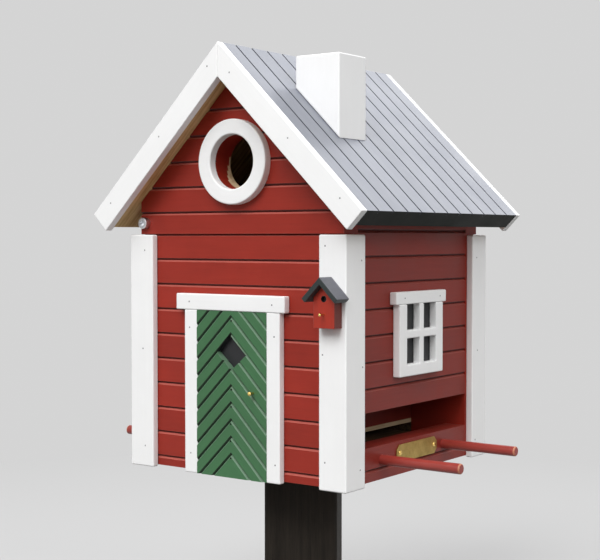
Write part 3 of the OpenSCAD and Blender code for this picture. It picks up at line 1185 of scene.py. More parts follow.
@dataclass(frozen=True)
class Door(SubAssembly):
    """Chevron door with its jambs, lintel and pull."""

    tip: float = 13.77 * MM
    pitch: float = 10.07 * MM
    rows: int = 16
    groove: Groove = Groove(0.0, width=1.9 * MM, depth=1.1 * MM, slit=0.1 * MM, slit_depth=0.3 * MM)
    dimple: float = 0.6 * MM
    dimple_depth: float = 0.8 * MM
    dimple_drop: float = 2.2 * MM
    dimple_sway: float = 0.4 * MM
    dimpled_rows: tuple[int, ...] = (0, 1, 2, 3, 4, 8)
    diamond_top: Point = (-1.2 * MM, 10.1 * MM)
    diamond_left: Point = (-11.2 * MM, -0.6 * MM)
    diamond_foot: Point = (0.2 * MM, -11.1 * MM)
    diamond_right: Point = (11.1 * MM, -1.9 * MM)
    diamond_rise: float = 74.2 * MM
    overcut: float = 1 * MM
    backing_share: float = 1.05
    backing_thick: float = 0.4 * MM
    slat_ease: float = 0.12 * MM
    ease: float = 0.7 * MM
    stem: float = 0.7 * MM
    stem_overlap: float = 0.2 * MM

    def half(self, house: House, hand: int) -> Solid:
        """Builds the slats on one side of the middle line.

        Args:
            house: The house's shared places.
            hand: 1 for the right half, -1 for the left one.

        Returns:
            The half door, open at the middle.
        """
        low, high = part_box("door_panel")
        middle = (low.x + high.x) / 2
        down = math.sqrt(0.5)
        origin = Vector((middle, house.front - (high.y - low.y), low.z))
        face = Face(origin, Vector((down, 0, -hand * down)), Vector((0, -1, 0)))
        span = high.z - low.z + high.x - low.x
        tips = [self.tip + i * self.pitch for i in range(self.rows)]
        grooves = [replace(self.groove, place=tip * down) for tip in tips]
        section = grooved(-span, span, high.y - low.y, grooves)
        slats = Solid.run(face, section, -span, span)
        slats.paint(1 if hand > 0 else 0, lambda centre, normal: True)
        tint_grooves(slats, face, 3)
        slats.trim(Vector((middle, 0, 0)), Vector((-hand, 0, 0)), fill=False)
        slats.trim(high if hand > 0 else low, Vector((hand, 0, 0)))
        slats.trim(low, Vector((0, 0, -1)))
        slats.trim(high, Vector((0, 0, 1)))
        return slats

    def build(self, house: House) -> None:
        """Builds and dresses the door and what surrounds it.

        Args:
            house: The house's shared places.
        """
        low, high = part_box("door_panel")
        thick = high.y - low.y
        panel = self.half(house, -1).add(self.half(house, 1)).weld()
        centre = Vector(((low.x + high.x) / 2, house.front, low.z + self.diamond_rise))
        face = Face(centre, Vector((1, 0, 0)), Vector((0, -1, 0)))
        corners = [self.diamond_top, self.diamond_left, self.diamond_foot, self.diamond_right]
        opening = Solid.prism(face, corners, -self.overcut, thick + 2 * self.overcut)
        # The opening's walls take the black paint: painted shade.
        opening.paint(2, lambda centre, normal: True)
        # The opening's wall that looks up and right takes the lighter green: painted highlight.
        opening.paint(3, lambda centre, normal: normal.x < -0.3 and normal.z < -0.3)
        made = panel.piece("door_slats", self.slat_ease, [opening, self.dimples(face, thick)])
        green = [
            self.green(Grain.RISING), self.green(Grain.FALLING), BLACK,
            # Painted highlight green for the grooves' upward walls, painted shade green for their downward
            # walls.
            PaintedWood("painted_highlight_green", PAINTED_HIGHLIGHT_GREEN, Grain.FALLING, 0.4, 0.12, wear=0.2),
            PaintedWood("painted_shade_green", SHADED_GREEN, Grain.RISING, 0.6, 0.15, wear=0.0),
        ]
        hand_over(made, "house", ["door_panel"], green)
        behind = [(u * self.backing_share, v * self.backing_share) for u, v in corners]
        backing = Solid.prism(face, behind, 0.0, self.backing_thick)
        hand_over(backing.piece("door_diamond_backing"), "house", [], [BLACK])
        for name in ("door_left_jamb", "door_right_jamb"):
            trim_box(name, self.ease, white(Grain.UPRIGHT))
        trim_box("door_lintel", self.ease, white(Grain.ACROSS))
        self.pull()

    def dimples(self, face: Face, thick: float) -> Solid:
        """Cuts small dents under the tips of some slats, black inside as painted shade.

        Args:
            face: Wall's face, drawn from the diamond's centre.
            thick: Thickness of the slats.

        Returns:
            The cutter.
        """
        cutter = Solid()
        for row in self.dimpled_rows:
            rise = self.tip + row * self.pitch - self.dimple_drop - self.diamond_rise
            spot = Face(face.at(self.dimple_sway * math.sin(5.0 * row), rise), face.right, face.out)
            ends = [(self.dimple, thick + self.overcut), (self.dimple, thick - self.dimple_depth)]
            cutter.add(Solid.turned(spot, ends, 12))
        # The dents' insides take the black paint: painted shade.
        return cutter.paint(2, lambda centre, normal: True)

    def green(self, grain: Grain) -> PaintedWood:
        """Returns the door's green paint for one way of the grain."""
        name = f"green_paint_{grain.name.lower()}"
        return PaintedWood(name, GREEN, grain, 0.4, 0.16, worn=srgb(150, 180, 150))

    def pull(self) -> None:
        """Builds and dresses the brass door pull."""
        low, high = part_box("door_pull")
        ball = (high.x - low.x) / 2
        reach = high.y - low.y
        centre = Vector(((low.x + high.x) / 2, high.y, (low.z + high.z) / 2))
        face = Face(centre, Vector((1, 0, 0)), Vector((0, -1, 0)))
        profile = [(self.stem, 0.0), (self.stem, reach - 2 * ball + self.stem_overlap)]
        for step in range(2, 12):
            angle = math.pi * step / 12
            profile.append((ball * math.sin(angle), reach - ball - ball * math.cos(angle)))
        made = Solid.turned(face, profile, 24).piece("door_pull_pin")
        hand_over(made, "house", ["door_pull"], [BRIGHT_BRASS])


def trim_box(name: str, ease: float, finish: object, body: str = "house") -> None:
    """Replaces a plain block of a node by one with rounded edges.

    Args:
        name: The node.
        ease: Width of the rounding.
        finish: Its finish.
        body: Body that it moves with.
    """
    low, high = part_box(name)
    face = Face(low, Vector((1, 0, 0)), Vector((0, -1, 0)))
    size = high - low
    block = Solid.prism(face, rectangle((0.0, 0.0), (size.x, size.z)), 0.0, -size.y)
    hand_over(block.piece(f"{name}_board", ease, steps=3), body, [name], [finish])


@dataclass(frozen=True)
class Window(SubAssembly):
    """Four-paned white window frame with its lintel, on one side of the house."""

    side: str
    stile: float = 8.4 * MM
    rail: float = 7.0 * MM
    bar: float = 4.8 * MM
    ease: float = 0.7 * MM
    sheet_inset: float = 2 * MM
    sheet_depth: float = 0.6 * MM
    sheet_proud: float = 0.1 * MM

    def build(self, house: House) -> None:
        """Builds and dresses the window.

        Args:
            house: The house's shared places.
        """
        name = f"{self.side}_window_frame"
        low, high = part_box(name)
        face = house.side_face(HANDS[self.side])
        width, height, depth = high.y - low.y, high.z - low.z, high.x - low.x
        pane_w = (width - 2 * self.stile - self.bar) / 2
        pane_h = (height - self.rail - self.bar) / 2
        u0, v0 = -width / 2, low.z - house.base
        columns = [u0, u0 + self.stile, u0 + self.stile + pane_w]
        columns += [columns[-1] + self.bar, columns[-1] + self.bar + pane_w, u0 + width]
        rows = [v0, v0 + self.rail, v0 + self.rail + pane_h]
        rows += [rows[-1] + self.bar, v0 + height]
        bars = self.grid(face, columns, rows, depth).piece(f"{name}_bars", self.ease)
        hand_over(bars, "house", [name], [white(Grain.UPRIGHT)])
        inset = self.sheet_inset
        pane = rectangle((u0 + inset, v0 + inset), (u0 + width - inset, v0 + height))
        sheet = Solid.prism(face, pane, -self.sheet_depth, self.sheet_proud)
        hand_over(sheet.piece(f"{self.side}_window_panes"), "house", [], [BLACK])
        trim_box(f"{self.side}_window_lintel", self.ease, white(Grain.DEEP))

    def grid(self, face: Face, columns: list[float], rows: list[float], depth: float) -> Solid:
        """Joins the bars that stand between the panes.

        Args:
            face: The wall's outer face.
            columns: Upright edges from left to right; every second cell is a pane.
            rows: Level edges from the bottom to the top, likewise.
            depth: Thickness of the frame.

        Returns:
            The frame's solid.
        """
        solid = Solid()
        corners = {
            (i, j, k): solid.mesh.verts.new(face.at(u, v, n))
            for i, u in enumerate(columns)
            for j, v in enumerate(rows)
            for k, n in enumerate((0.0, depth))
        }
        cells = {
            (i, j)
            for i in range(len(columns) - 1)
            for j in range(len(rows) - 1)
            if not (i % 2 and j % 2)
        }
        for i, j in cells:
            for k in (0, 1):
                around = ((i, j), (i + 1, j), (i + 1, j + 1), (i, j + 1))
                solid.mesh.faces.new([corners[*corner, k] for corner in around])
            for beyond, a, b in (
                ((i - 1, j), (i, j), (i, j + 1)), ((i + 1, j), (i + 1, j), (i + 1, j + 1)),
                ((i, j - 1), (i, j), (i + 1, j)), ((i, j + 1), (i, j + 1), (i + 1, j + 1)),
            ):
                if beyond not in cells:
                    solid.mesh.faces.new([corners[*a, 0], corners[*b, 0], corners[*b, 1], corners[*a, 1]])
        bmesh.ops.recalc_face_normals(solid.mesh, faces=solid.mesh.faces)
        return solid


@dataclass(frozen=True)
class Perches(SubAssembly):
    """Four dowels that birds sit on, worn at their ends."""

    worn: float = 0.8
    steps: int = 24
    waist: float = 0.012
    straight_end: float = 1.2 * MM
    tip: tuple[Point, ...] = (
        (0.0, 1.0 * MM), (0.12 * MM, 0.4 * MM), (0.45 * MM, 0.08 * MM), (0.9 * MM, 0.0)
    )

    def build(self, house: House) -> None:
        """Builds and dresses the dowels.

        Args:
            house: The house's shared places.
        """
        finish = PaintedWood(
            "perch_paint", srgb(150, 56, 48), Grain.ACROSS, 0.34, 0.2, 0.08 * MM, self.worn,
            srgb(214, 172, 132), 0.9 * MM,
        )
        rim = PaintedWood("perch_rim", srgb(186, 118, 90), Grain.ACROSS, 0.5, 0.35, wear=self.worn)
        for side, hand in HANDS.items():
            for end in ("front", "back"):
                name = f"{side}_{end}_perch"
                low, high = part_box(name)
                start = low.x if hand > 0 else high.x
                centre = Vector((start, (low.y + high.y) / 2, (low.z + high.z) / 2))
                face = Face(centre, Vector((0, hand, 0)), Vector((hand, 0, 0)))
                shape = self.outline((high.z - low.z) / 2, high.x - low.x, hand)
                dowel = Solid.turned(face, shape, 40)
                dowel.paint(1, lambda middle, normal: 0.15 < normal.x * hand < 0.95)
                hand_over(dowel.piece(f"{name}_dowel"), "house", [name], [finish, rim])

    def outline(self, radius: float, length: float, hand: int) -> list[Point]:
        """Draws a dowel that is a little waisted and rounded at its free end.

        Args:
            radius: Radius of the dowel.
            length: Length of the dowel.
            hand: 1 on the right side, -1 on the left one.

        Returns:
            Radius and place of each point.
        """
        shape = [(radius, 0.0)]
        for step in range(1, self.steps):
            share = step / self.steps
            swell = 1 - self.waist * (1 + math.sin(9.0 * share + 2.1 * hand))
            shape.append((radius * swell, share * (length - self.straight_end)))
        return [*shape, *((radius - inset, length - back) for inset, back in self.tip)]


@dataclass(frozen=True)
class Plate(SubAssembly):
    """Blank brass plate with cut corners, held by two round nails."""

    cut: float = 3.0 * MM
    ease: float = 0.18 * MM
    nail: float = 1.5 * MM
    nail_height: float = 0.8 * MM
    nail_inset: float = 3.5 * MM
    nail_lift: float = 0.3 * MM

    def build(self, house: House) -> None:
        """Builds and dresses the plate and its nails.

        Args:
            house: The house's shared places.
        """
        low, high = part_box("blank_plate")
        size = high - low
        origin = Vector((low.x, (low.y + high.y) / 2, (low.z + high.z) / 2))
        face = Face(origin, Vector((0, 1, 0)), Vector((1, 0, 0)))
        a, b, c = size.y / 2, size.z / 2, self.cut
        outline = [(c - a, -b), (a - c, -b), (a, c - b), (a, b - c)]
        outline += [(-u, -v) for u, v in outline]
        plate = Solid.prism(face, outline, 0.0, size.x).piece("blank_plate_sheet", self.ease)
        hand_over(plate, "house", ["blank_plate"], [BRASS])
        nails = Solid()
        for end in (-1, 1):
            spot = Face(face.at(end * (a - self.nail_inset), self.nail_lift, size.x), face.right, face.out)
            nails.add(dome(spot, self.nail, self.nail_height))
        hand_over(nails.piece("blank_plate_nails"), "house", [], [BRIGHT_BRASS])


def dome(face: Face, radius: float, height: float, steps: int = 20) -> Solid:
    """Makes a round nail head.

    Args:
        face: Face whose origin it sits on.
        radius: Radius of the head.
        height: Height of the head.
        steps: Number of steps round it.

    Returns:
        The head's solid.
    """
    profile = [(radius, -SUNK)]
    for step in range(6):
        angle = math.pi / 2 * step / 6
        profile.append((radius * math.cos(angle), height * math.sin(angle)))
    return Solid.turned(face, profile, steps)


@dataclass(frozen=True)
class ToyBox(SubAssembly):
    """Toy nest box on the front right corner."""

    hole: float = 1.8 * MM
    hole_rise: float = 16.2 * MM
    hole_depth: float = 2.5 * MM
    overcut: float = 1 * MM
    pin_share: float = 0.55
    ease: float = 0.35 * MM
    slope: float = math.radians(45)
    roof_thick: float = 3.0 * MM
    roof_ease: float = 0.4 * MM
    colour: Colour = srgb(158, 42, 24)
    # Darker copy of the toy's red for its sides: painted shade.
    side_shade_colour: Colour = srgb(94, 32, 23)
    roof_colour: Colour = srgb(94, 95, 102)
    edge_colour: Colour = srgb(34, 42, 42)

    def build(self, house: House) -> None:
        """Builds and dresses the toy box.

        Args:
            house: The house's shared places.
        """
        low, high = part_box("toy_box_body")
        roof_low, roof_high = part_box("toy_box_roof")
        middle = (low.x + high.x) / 2
        face = Face(Vector((middle, high.y, low.z)), Vector((1, 0, 0)), Vector((0, -1, 0)))
        half = (high.x - low.x) / 2
        depth = high.y - low.y
        peak = high.z - low.z
        outline = [(-half, 0.0), (half, 0.0), (half, peak - half), (0.0, peak), (-half, peak - half)]
        spot = Face(face.at(0.0, self.hole_rise), face.right, face.out)
        ends = [(self.hole, depth + self.overcut), (self.hole, depth - self.hole_depth)]
        hole = Solid.turned(spot, ends, 32)
        # The hole's inside takes the black paint: painted shade.
        hole.paint(1, lambda centre, normal: True)
        block = Solid.prism(face, outline, 0.0, depth)
        # The sides take the darker red: painted shade.
        block.paint(2, lambda centre, normal: abs(normal.x) > 0.9)
        made = block.piece("toy_box_block", self.ease, [hole])
        finish = PaintedWood("bright_red_stain", self.colour, Grain.UPRIGHT, 0.42, 0.3, 0.1 * MM, 0.4)
        side = PaintedWood("toy_side_painted_shade", self.side_shade_colour, Grain.UPRIGHT, 0.45, 0.3, 0.1 * MM, 0.4)
        hand_over(made, "house", ["toy_box_body"], [finish, BLACK, side])
        wide = (roof_high.x - roof_low.x) / 2
        ridge = roof_high.z - low.z
        down = self.roof_thick / math.cos(self.slope)
        foot = wide - self.roof_thick * math.sin(self.slope)
        shape = [(0.0, ridge), (wide, ridge - wide), (foot, ridge - down - foot), (0.0, ridge - down)]
        shape += [(-foot, ridge - down - foot), (-wide, ridge - wide)]
        slabs = Solid.prism(face, shape, 0.0, roof_high.y - roof_low.y)
        slabs.paint(1, lambda centre, normal: normal.z > 0.5)
        roof = slabs.piece("toy_box_roof_slabs", self.roof_ease)
        dark = PaintedWood("toy_roof_edge", self.edge_colour, Grain.DEEP, 0.4, 0.2, wear=0.1)
        dusty = PaintedWood(
            "toy_roof_top", self.roof_colour, Grain.DEEP, 0.5, 0.25, 0.12 * MM, 0.5, srgb(140, 140, 146)
        )
        hand_over(roof, "house", ["toy_box_roof"], [dark, dusty])
        self.perch()

    def perch(self) -> None:
        """Builds and dresses the toy's brass perch."""
        low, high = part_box("toy_box_perch")
        radius = (high.x - low.x) / 2
        reach = high.y - low.y
        centre = Vector(((low.x + high.x) / 2, high.y, (low.z + high.z) / 2))
        face = Face(centre, Vector((1, 0, 0)), Vector((0, -1, 0)))
        pin = radius * self.pin_share
        profile = [(pin, 0.0), (pin, reach - 2 * radius)]
        for step in range(3, 12):
            angle = math.pi * step / 12
            profile.append((radius * math.sin(angle), reach - radius - radius * math.cos(angle)))
        made = Solid.turned(face, profile, 20).piece("toy_box_perch_pin")
        hand_over(made, "house", ["toy_box_perch"], [BRIGHT_BRASS])


@dataclass(frozen=True)
class Roof(SubAssembly):
    """Roof boards, bargeboards, chimney and hinge, which swing together."""

    first: float = -0.9 * MM
    pitch: float = 15.03 * MM
    count: int = 12
    groove: Groove = Groove(0.0, width=1.3 * MM, depth=1.0 * MM, slit=0.4 * MM, slit_depth=0.8 * MM)
    board_ease: float = 0.12 * MM
    barge_ease: float = 0.45 * MM
    barge_inset: float = 0.1 * MM
    chimney_ease: float = 0.9 * MM
    knurls: int = 36
    knurl_depth: float = 0.12 * MM
    rim: tuple[Point, ...] = ((0.25 * MM, 0.1 * MM), (0.5 * MM, 0.0))
    rim_height: float = 0.5 * MM
    socket_radius: float = 1.73 * MM
    socket_depth: float = 2 * MM
    overcut: float = 1 * MM
    shank_gap: float = 0.02 * MM
    colour: Colour = srgb(108, 112, 124)
    # Dark grey for the eave ends: painted shade.
    end_shade_colour: Colour = srgb(22, 26, 23)
    # Dark grey for the roof grooves' walls: painted shade.
    groove_shade_colour: Colour = srgb(58, 60, 68)

    def slope_face(self, hand: int, ridge: float, y: float) -> Face:
        """Returns the outer face of the right (1) or left (-1) slope, drawn from the ridge down."""
        down = Vector((hand * math.cos(PITCH), 0, -math.sin(PITCH)))
        return Face(Vector((0, y, ridge)), down, Vector((hand * math.sin(PITCH), 0, math.cos(PITCH))))

    def thickness(self, name: str) -> float:
        """Works out from a sloped node's box how thick it is square to the slope.

        Args:
            name: The node.

        Returns:
            The thickness.
        """
        low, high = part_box(name)
        reach = max(abs(low.x), abs(high.x))
        return (high.z - low.z - reach * math.tan(PITCH)) / math.cos(PITCH)

    def board(self, house: House, side: str) -> None:
        """Builds one side's roof boards.

        Args:
            house: The house's shared places.
            side: Side's name.
        """
        hand = HANDS[side]
        name = f"{side}_roof_board"
        low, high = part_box(name)
        face = self.slope_face(hand, high.z, 0.0)
        thick = self.thickness(name)
        length = max(abs(low.x), abs(high.x)) / math.cos(PITCH)
        places = [house.front + self.first + i * self.pitch for i in range(self.count)]
        grooves = [replace(self.groove, place=hand * place) for place in places]
        ends = sorted((hand * low.y, hand * high.y))
        section = grooved(ends[0], ends[1], thick, grooves[::hand])
        slab = Solid.run(face, section, 0.0, length)
        slab.trim(Vector((0, 0, 0)), Vector((-hand, 0, 0)))
        # The soffit takes bare pine, lightened as painted bounce light.
        slab.paint(1, lambda middle, normal: normal.dot(face.out) < -0.9)
        # Eave ends take the dark grey: painted shade.
        slab.paint(2, lambda middle, normal: normal.dot(face.right) > 0.9)
        # Groove walls take the dark grey: painted shade.
        slab.paint(3, lambda middle, normal: normal.dot(face.out) > -0.1 and abs(normal.y) > 0.3)
        ends = (low.y, high.y)
        slab.paint(0, lambda middle, normal: min(abs(middle.y - end) for end in ends) < SAME_PLACE)
        made = slab.piece(f"{name}s", self.board_ease)
        hand_over(made, "roof", [name], self.finishes(house, side))

    def finishes(self, house: House, side: str) -> list[object]:
        """Makes the finishes of one side's roof boards.

        Args:
            house: The house's shared places.
            side: Side's name.

        Returns:
            The finishes of top, soffit with painted bounce light, eave with painted shade and groove walls
            with painted shade.
        """
        grain = Grain.RIGHT_SLOPE if side == "right" else Grain.LEFT_SLOPE
        rows = Boards(Axis.Y, house.front + self.first, self.pitch)
        return [
            PaintedWood(
                f"grey_paint_{side}", self.colour, grain, 0.34, 0.1, 0.05 * MM, 0.3, srgb(170, 172, 178),
                boards=rows, coat=0.6,
            ),
            # Bare pine, lightened as painted bounce light from below.
            BarePine(f"soffit_pine_{side}", grain, srgb(236, 206, 150), srgb(190, 150, 96)),
            PaintedWood("roof_end_painted_shade", self.end_shade_colour, Grain.DEEP, 0.6, 0.25, wear=0.1, specular=0.1),
            PaintedWood("painted_shade_grey", self.groove_shade_colour, grain, 0.6, 0.15, wear=0.0, specular=0.2),
        ]

    def bargeboard(self, end: str, side: str) -> None:
        """Builds one bargeboard.

        Args:
            end: Front or back.
            side: Side's name.
        """
        hand = HANDS[side]
        name = f"{end}_{side}_bargeboard"
        low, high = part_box(name)
        inset = self.barge_inset
        front = low.y + (inset if end == "front" else 0.0)
        face = self.slope_face(hand, high.z, front)
        deep = self.thickness(name)
        length = max(abs(low.x), abs(high.x)) / math.cos(PITCH)
        span = sorted((0.0, hand * (high.y - low.y - inset)))
        section = [(span[0], -deep), (span[0], 0.0), (span[1], 0.0), (span[1], -deep)]
        board = Solid.run(face, section, 0.0, length).trim(Vector((0, 0, 0)), Vector((-hand, 0, 0)))
        made = board.piece(f"{name}_plank", self.barge_ease, steps=3)
        grain = Grain.RIGHT_SLOPE if hand > 0 else Grain.LEFT_SLOPE
        hand_over(made, "roof", [name], [white(grain)])

    def chimney(self) -> None:
        """Builds and dresses the chimney."""
        low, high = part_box("chimney")
        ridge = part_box("right_roof_board")[1].z
        face = Face(low, Vector((1, 0, 0)), Vector((0, -1, 0)))
        size = high - low
        block = Solid.prism(face, rectangle((0.0, 0.0), (size.x, size.z)), 0.0, -size.y)
        block.trim(Vector((0, 0, ridge)), Vector((-math.sin(PITCH), 0, -math.cos(PITCH))))
        made = block.piece("chimney_block", self.chimney_ease, steps=3)
        hand_over(made, "roof", ["chimney"], [white(Grain.UPRIGHT)])

    def bolt(self, end: str) -> None:
        """Builds and dresses one hinge bolt with a knurled, socketed head.

        Args:
            end: Front or back.
        """
        name = f"{end}_hinge_bolt"
        low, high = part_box(name)
        sign = -1 if end == "front" else 1
        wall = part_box(f"{end}_wall")
        seat = wall[0].y if end == "front" else wall[1].y
        centre = Vector(((low.x + high.x) / 2, seat, (low.z + high.z) / 2))
        face = Face(centre, Vector((1, 0, 0)), Vector((0, sign, 0)))
        head = abs((low.y if end == "front" else high.y) - seat)
        bolt = self.knurled(face, (high.x - low.x) / 2, head)
        ends = [(self.socket_radius, head + self.overcut), (self.socket_radius, head - self.socket_depth)]
        socket = Solid.turned(face, ends, 6)
        ends = [(SHANK_RADIUS, -self.shank_gap), (SHANK_RADIUS, head - (high.y - low.y))]
        shank = Solid.turned(face, ends, 32)
        made = bolt.piece(f"{name}_head", 0.0, [socket])
        hand_over(made, "roof", [name], [ZINC])
        hand_over(shank.piece(f"{name}_shank"), "roof", [], [ZINC])

    def knurled(self, face: Face, radius: float, height: float) -> Solid:
        """Makes a bolt head with a knurled edge and a rounded rim.

        Args:
            face: Face that the head sits on.
            radius: Radius of the head.
            height: Height of the head.

        Returns:
            The head's solid.
        """
        straight = height - self.rim_height
        profile = [(radius, 0.0), (radius, straight)]
        profile += [(radius - inset, height - drop) for inset, drop in self.rim]
        steps = 2 * self.knurls
        rings = []
        for r, n in profile:
            ring = []
            for i in range(steps):
                angle = 2 * math.pi * i / steps
                reach = r - (self.knurl_depth if i % 2 and n <= straight else 0.0)
                ring.append(face.at(reach * math.cos(angle), reach * math.sin(angle), n))
            rings.append(ring)
        return Solid.loft(rings)

    def build(self, house: House) -> None:
        """Builds and dresses the whole roof.

        Args:
            house: The house's shared places.
        """
        for side in HANDS:
            self.board(house, side)
        for end in ("front", "back"):
            for side in HANDS:
                self.bargeboard(end, side)
            self.bolt(end)
        self.chimney()
        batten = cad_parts["hinge_batten"]
        batten.data.materials.clear()
        batten.data.materials.append(dressed(red(Grain.DEEP)))


@dataclass(frozen=True)
class Nails(SubAssembly):
    """Small nail heads that show in the trim, as hammered in: none quite in line."""

    radius: float = 0.5 * MM
    height: float = 0.07 * MM
    front_spots: tuple[Point, ...] = ((0.3 * MM, 12.7 * MM), (-1.3 * MM, 72.6 * MM), (0.4 * MM, 133 * MM))
    right_edge: float = 9.6 * MM
    right_lift: float = 3.2 * MM
    left_edge: float = 6.7 * MM
    side_spots: tuple[Point, ...] = ((-1.2 * MM, 11.1 * MM), (1.2 * MM, 68.5 * MM), (0.0, 128 * MM))
    side_front_edge: float = 10.7 * MM
    side_back_edge: float = 7.8 * MM
    left_jamb_spots: tuple[Point, ...] = ((-32.4 * MM, 87.1 * MM), (-31.7 * MM, 11.8 * MM))
    right_jamb_spots: tuple[Point, ...] = ((30.9 * MM, 84.2 * MM), (31.6 * MM, 10.8 * MM))
    lintel_shares: Point = (-0.336, 0.336)
    lintel_reaches: Point = (-3.0 * MM, 4.3 * MM)
    lintel_lifts: Point = (0.0, -0.3 * MM)
    window_shares: Point = (-0.34, 0.37)
    barge_inset: float = 0.1 * MM
    drop_share: float = 0.7
    right_barge_spots: tuple[Point, ...] = (
        (8.8 * MM, 9.9 * MM), (50 * MM, 8.2 * MM), (84.7 * MM, 7.6 * MM)
    )
    left_barge_spots: tuple[Point, ...] = (
        (7.6 * MM, 6.2 * MM), (45 * MM, 8 * MM), (84.7 * MM, 7.6 * MM)
    )

    def corner_spots(self, house: House) -> list[Face]:
        """Lists the nails in the corner boards.

        Args:
            house: The house's shared places.

        Returns:
            A face at each nail.
        """
        spots = []
        for end, plane in (("front", house.front_face()), ("back", house.back_face())):
            low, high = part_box(f"{end}_right_corner_board")
            off = abs((low.y if end == "front" else high.y) - plane.origin.y)
            for hand, lift, edge in ((1, self.right_lift, self.right_edge), (-1, 0.0, self.left_edge)):
                for shift, v in self.front_spots:
                    u = hand * (house.side - edge) + shift
                    spots.append(Face(plane.at(u, v + lift, off), plane.right, plane.out))
        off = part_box("front_right_corner_board")[1].x - house.side
        half = (house.back - house.front) / 2
        for hand in HANDS.values():
            plane = house.side_face(hand)
            for place in (self.side_front_edge - half, half - self.side_back_edge):
                for shift, v in self.side_spots:
                    spots.append(Face(plane.at(hand * (place + shift), v, off), plane.right, plane.out))
        return spots

    def door_spots(self, house: House) -> list[Face]:
        """Lists the nails in the door's jambs and lintel.

        Args:
            house: The house's shared places.

        Returns:
            A face at each nail.
        """
        plane = house.front_face()
        off = house.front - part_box("door_left_jamb")[0].y
        spots = [plane.at(u, v, off) for u, v in self.left_jamb_spots + self.right_jamb_spots]
        low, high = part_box("door_lintel")
        middle, level = (low.x + high.x) / 2, (low.z + high.z) / 2 - house.base
        for share, reach, lift in zip(self.lintel_shares, self.lintel_reaches, self.lintel_lifts):
            u = middle + share * (high.x - low.x) + reach
            spots.append(plane.at(u, level + lift, house.front - low.y))
        return [Face(spot, plane.right, plane.out) for spot in spots]

    def window_spots(self, house: House) -> list[Face]:
        """Lists the nails in the window lintels.

        Args:
            house: The house's shared places.

        Returns:
            A face at each nail.
        """
        spots = []
        for side, hand in HANDS.items():
            low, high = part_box(f"{side}_window_lintel")
            plane = house.side_face(hand)
            level = (low.z + high.z) / 2 - house.base
            for share in self.window_shares:
                spot = plane.at(share * (high.y - low.y), level, high.x - low.x)
                spots.append(Face(spot, plane.right, plane.out))
        return spots

    def roof_spots(self) -> list[Face]:
        """Lists the nails that hold the bargeboards.

        Returns:
            A face at each nail.
        """
        spots = []
        for end, sign in (("front", -1), ("back", 1)):
            low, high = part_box(f"{end}_right_bargeboard")
            y = low.y + self.barge_inset if end == "front" else high.y - self.barge_inset
            for hand, places in ((1, self.right_barge_spots), (-1, self.left_barge_spots)):
                for x, drop in places:
                    z = high.z - x * math.tan(PITCH) - drop / math.cos(PITCH) * self.drop_share
                    spots.append(Face(Vector((hand * x, y, z)), Vector((1, 0, 0)), Vector((0, sign, 0))))
        return spots

    def build(self, house: House) -> None:
        """Builds and dresses every nail head.

        Args:
            house: The house's shared places.
        """
        trim = self.corner_spots(house) + self.door_spots(house) + self.window_spots(house)
        barge = self.roof_spots()
        for name, body, spots in (("trim_nails", "house", trim), ("bargeboard_nails", "roof", barge)):
            heads = Solid()
            for spot in spots:
                heads.add(dome(spot, self.radius, self.height, 12))
            hand_over(heads.piece(name), body, [], [NAIL_GREY])


@dataclass(frozen=True)
class Lamp:
    """A soft square lamp."""

    name: str
    place: tuple[float, float, float]
    size: float
    power: float
    colour: tuple[float, float, float] = (1.0, 1.0, 1.0)

    def build(self, target: Vector) -> None:
        """Hangs the lamp.

        Args:
            target: Point that it is aimed at.
        """
        data = bpy.data.lights.new(self.name, "AREA")
        data.shape = "SQUARE"
        data.size = self.size
        data.energy = self.power
        data.color = self.colour
        lamp = bpy.data.objects.new(self.name, data)
        lamp.location = self.place
        lamp.rotation_mode = "QUATERNION"
        lamp.rotation_quaternion = (target - Vector(self.place)).to_track_quat("-Z", "Y")
        bpy.context.scene.collection.objects.link(lamp)


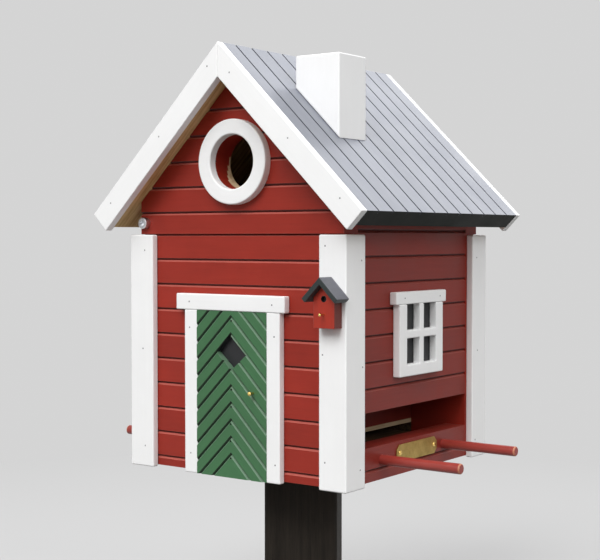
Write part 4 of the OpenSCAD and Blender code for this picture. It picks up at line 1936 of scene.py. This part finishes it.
@dataclass(frozen=True)
class Studio:
    """Floor, lamps, world and camera."""

    eye: tuple[float, float, float] = (0.4699, -0.6529, 0.2595)
    yaw: float = math.radians(35.925)
    tilt: float = math.radians(-1.878)
    lens: float = 76.89
    sensor: float = 36.0
    nearest: float = 0.01
    farthest: float = 200.0
    horizon: float = 0.12
    zenith: float = 1.25
    rear: float = 0.55
    backdrop: float = 0.66
    floor_bounce: Colour = srgb(92, 92, 90)
    floor_colour: Colour = srgb(190, 190, 190)
    floor_reach: float = 30.0
    fade_start: float = 0.12
    fade_end: float = 0.75
    target: tuple[float, float, float] = (0.0, 0.0, 0.22)
    lamps: tuple[Lamp, ...] = (
        Lamp("key_lamp", (0.21, -2.4, 2.5), 1.98, 75.0),
        Lamp("side_lamp", (1.9, -0.45, 1.4), 1.4, 12.5),
        Lamp("top_lamp", (0.15, -0.3, 2.4), 1.6, 8.0),
        Lamp("sky_panel", (-0.25, 1.5, 1.35), 1.3, 6.5, (0.93, 0.95, 1.0)),
    )

    def camera(self) -> None:
        """Sets up the camera."""
        data = bpy.data.cameras.new("camera")
        data.lens = self.lens
        data.sensor_width = self.sensor
        data.clip_start = self.nearest
        data.clip_end = self.farthest
        camera = bpy.data.objects.new("camera", data)
        camera.location = self.eye
        camera.rotation_euler = (math.pi / 2 + self.tilt, 0.0, self.yaw)
        bpy.context.scene.collection.objects.link(camera)
        bpy.context.scene.camera = camera

    def floor(self) -> None:
        """Lays a pale floor that fades to white away from the post."""
        mesh = bpy.data.meshes.new("studio_floor")
        r = self.floor_reach
        mesh.from_pydata([(-r, -r, 0), (r, -r, 0), (r, r, 0), (-r, r, 0)], [], [(0, 1, 2, 3)])
        floor = bpy.data.objects.new("studio_floor", mesh)
        bpy.context.scene.collection.objects.link(floor)
        g = Graph(bpy.data.materials.new("studio_floor"))
        paint = g.mix(g.background(), self.floor_bounce, self.floor_colour)
        matte = g.add("ShaderNodeBsdfPrincipled", {"Base Color": paint, "Roughness": 0.9})
        glow = g.add("ShaderNodeEmission", {"Color": (1.0, 1.0, 1.0, 1.0), "Strength": self.backdrop})
        distance = g.add("ShaderNodeVectorMath", {0: g.space}, operation="LENGTH").outputs["Value"]
        fade = g.spread(distance, self.fade_start, self.fade_end, 0.0, 1.0)
        seen = g.add("ShaderNodeLightPath").outputs["Is Camera Ray"]
        share = g.maths("MULTIPLY", fade, seen)
        mixed = g.add("ShaderNodeMixShader", {0: share, 1: matte.outputs[0], 2: glow.outputs[0]})
        g.add("ShaderNodeOutputMaterial", {"Surface": mixed.outputs[0]})
        mesh.materials.append(g.owner)

    def world(self) -> None:
        """Sets a pale surround, and a soft sky where it only lights the object."""
        world = bpy.data.worlds.new("studio_world")
        bpy.context.scene.world = world
        g = Graph(world)
        way = g.add("ShaderNodeSeparateXYZ", {0: g.direction}).outputs
        sky = g.spread(way["Z"], 0.05, 0.6, self.horizon, self.zenith)
        front = g.spread(g.maths("SUBTRACT", way["X"], way["Y"]), -1.0, 1.0, self.rear, 1.0)
        backdrop = (*[self.backdrop] * 3, 1.0)
        level = g.mix(g.background(), g.maths("MULTIPLY", sky, front), backdrop)
        glow = g.add("ShaderNodeBackground", {"Color": level, "Strength": 1.0})
        g.add("ShaderNodeOutputWorld", {"Surface": glow.outputs[0]})

    def build(self) -> None:
        """Builds the whole studio."""
        self.camera()
        self.floor()
        self.world()
        for lamp in self.lamps:
            lamp.build(Vector(self.target))
        bpy.context.scene.view_settings.view_transform = "Standard"


def main() -> None:
    """Builds the studio and then every sub-assembly, in order."""
    logging.basicConfig(level=logging.INFO, format="%(message)s")
    Studio().build()
    house = House.from_frame()
    parts = [Post(), Walls(), CornerBoards(), Entrance(), Door(), Window("right"), Window("left")]
    parts += [Perches(), Plate(), ToyBox(), Roof(), Nails()]
    for part in parts:
        log.info("building %s", type(part).__name__)
        part.build(house)


if __name__ == "__main__":
    main()
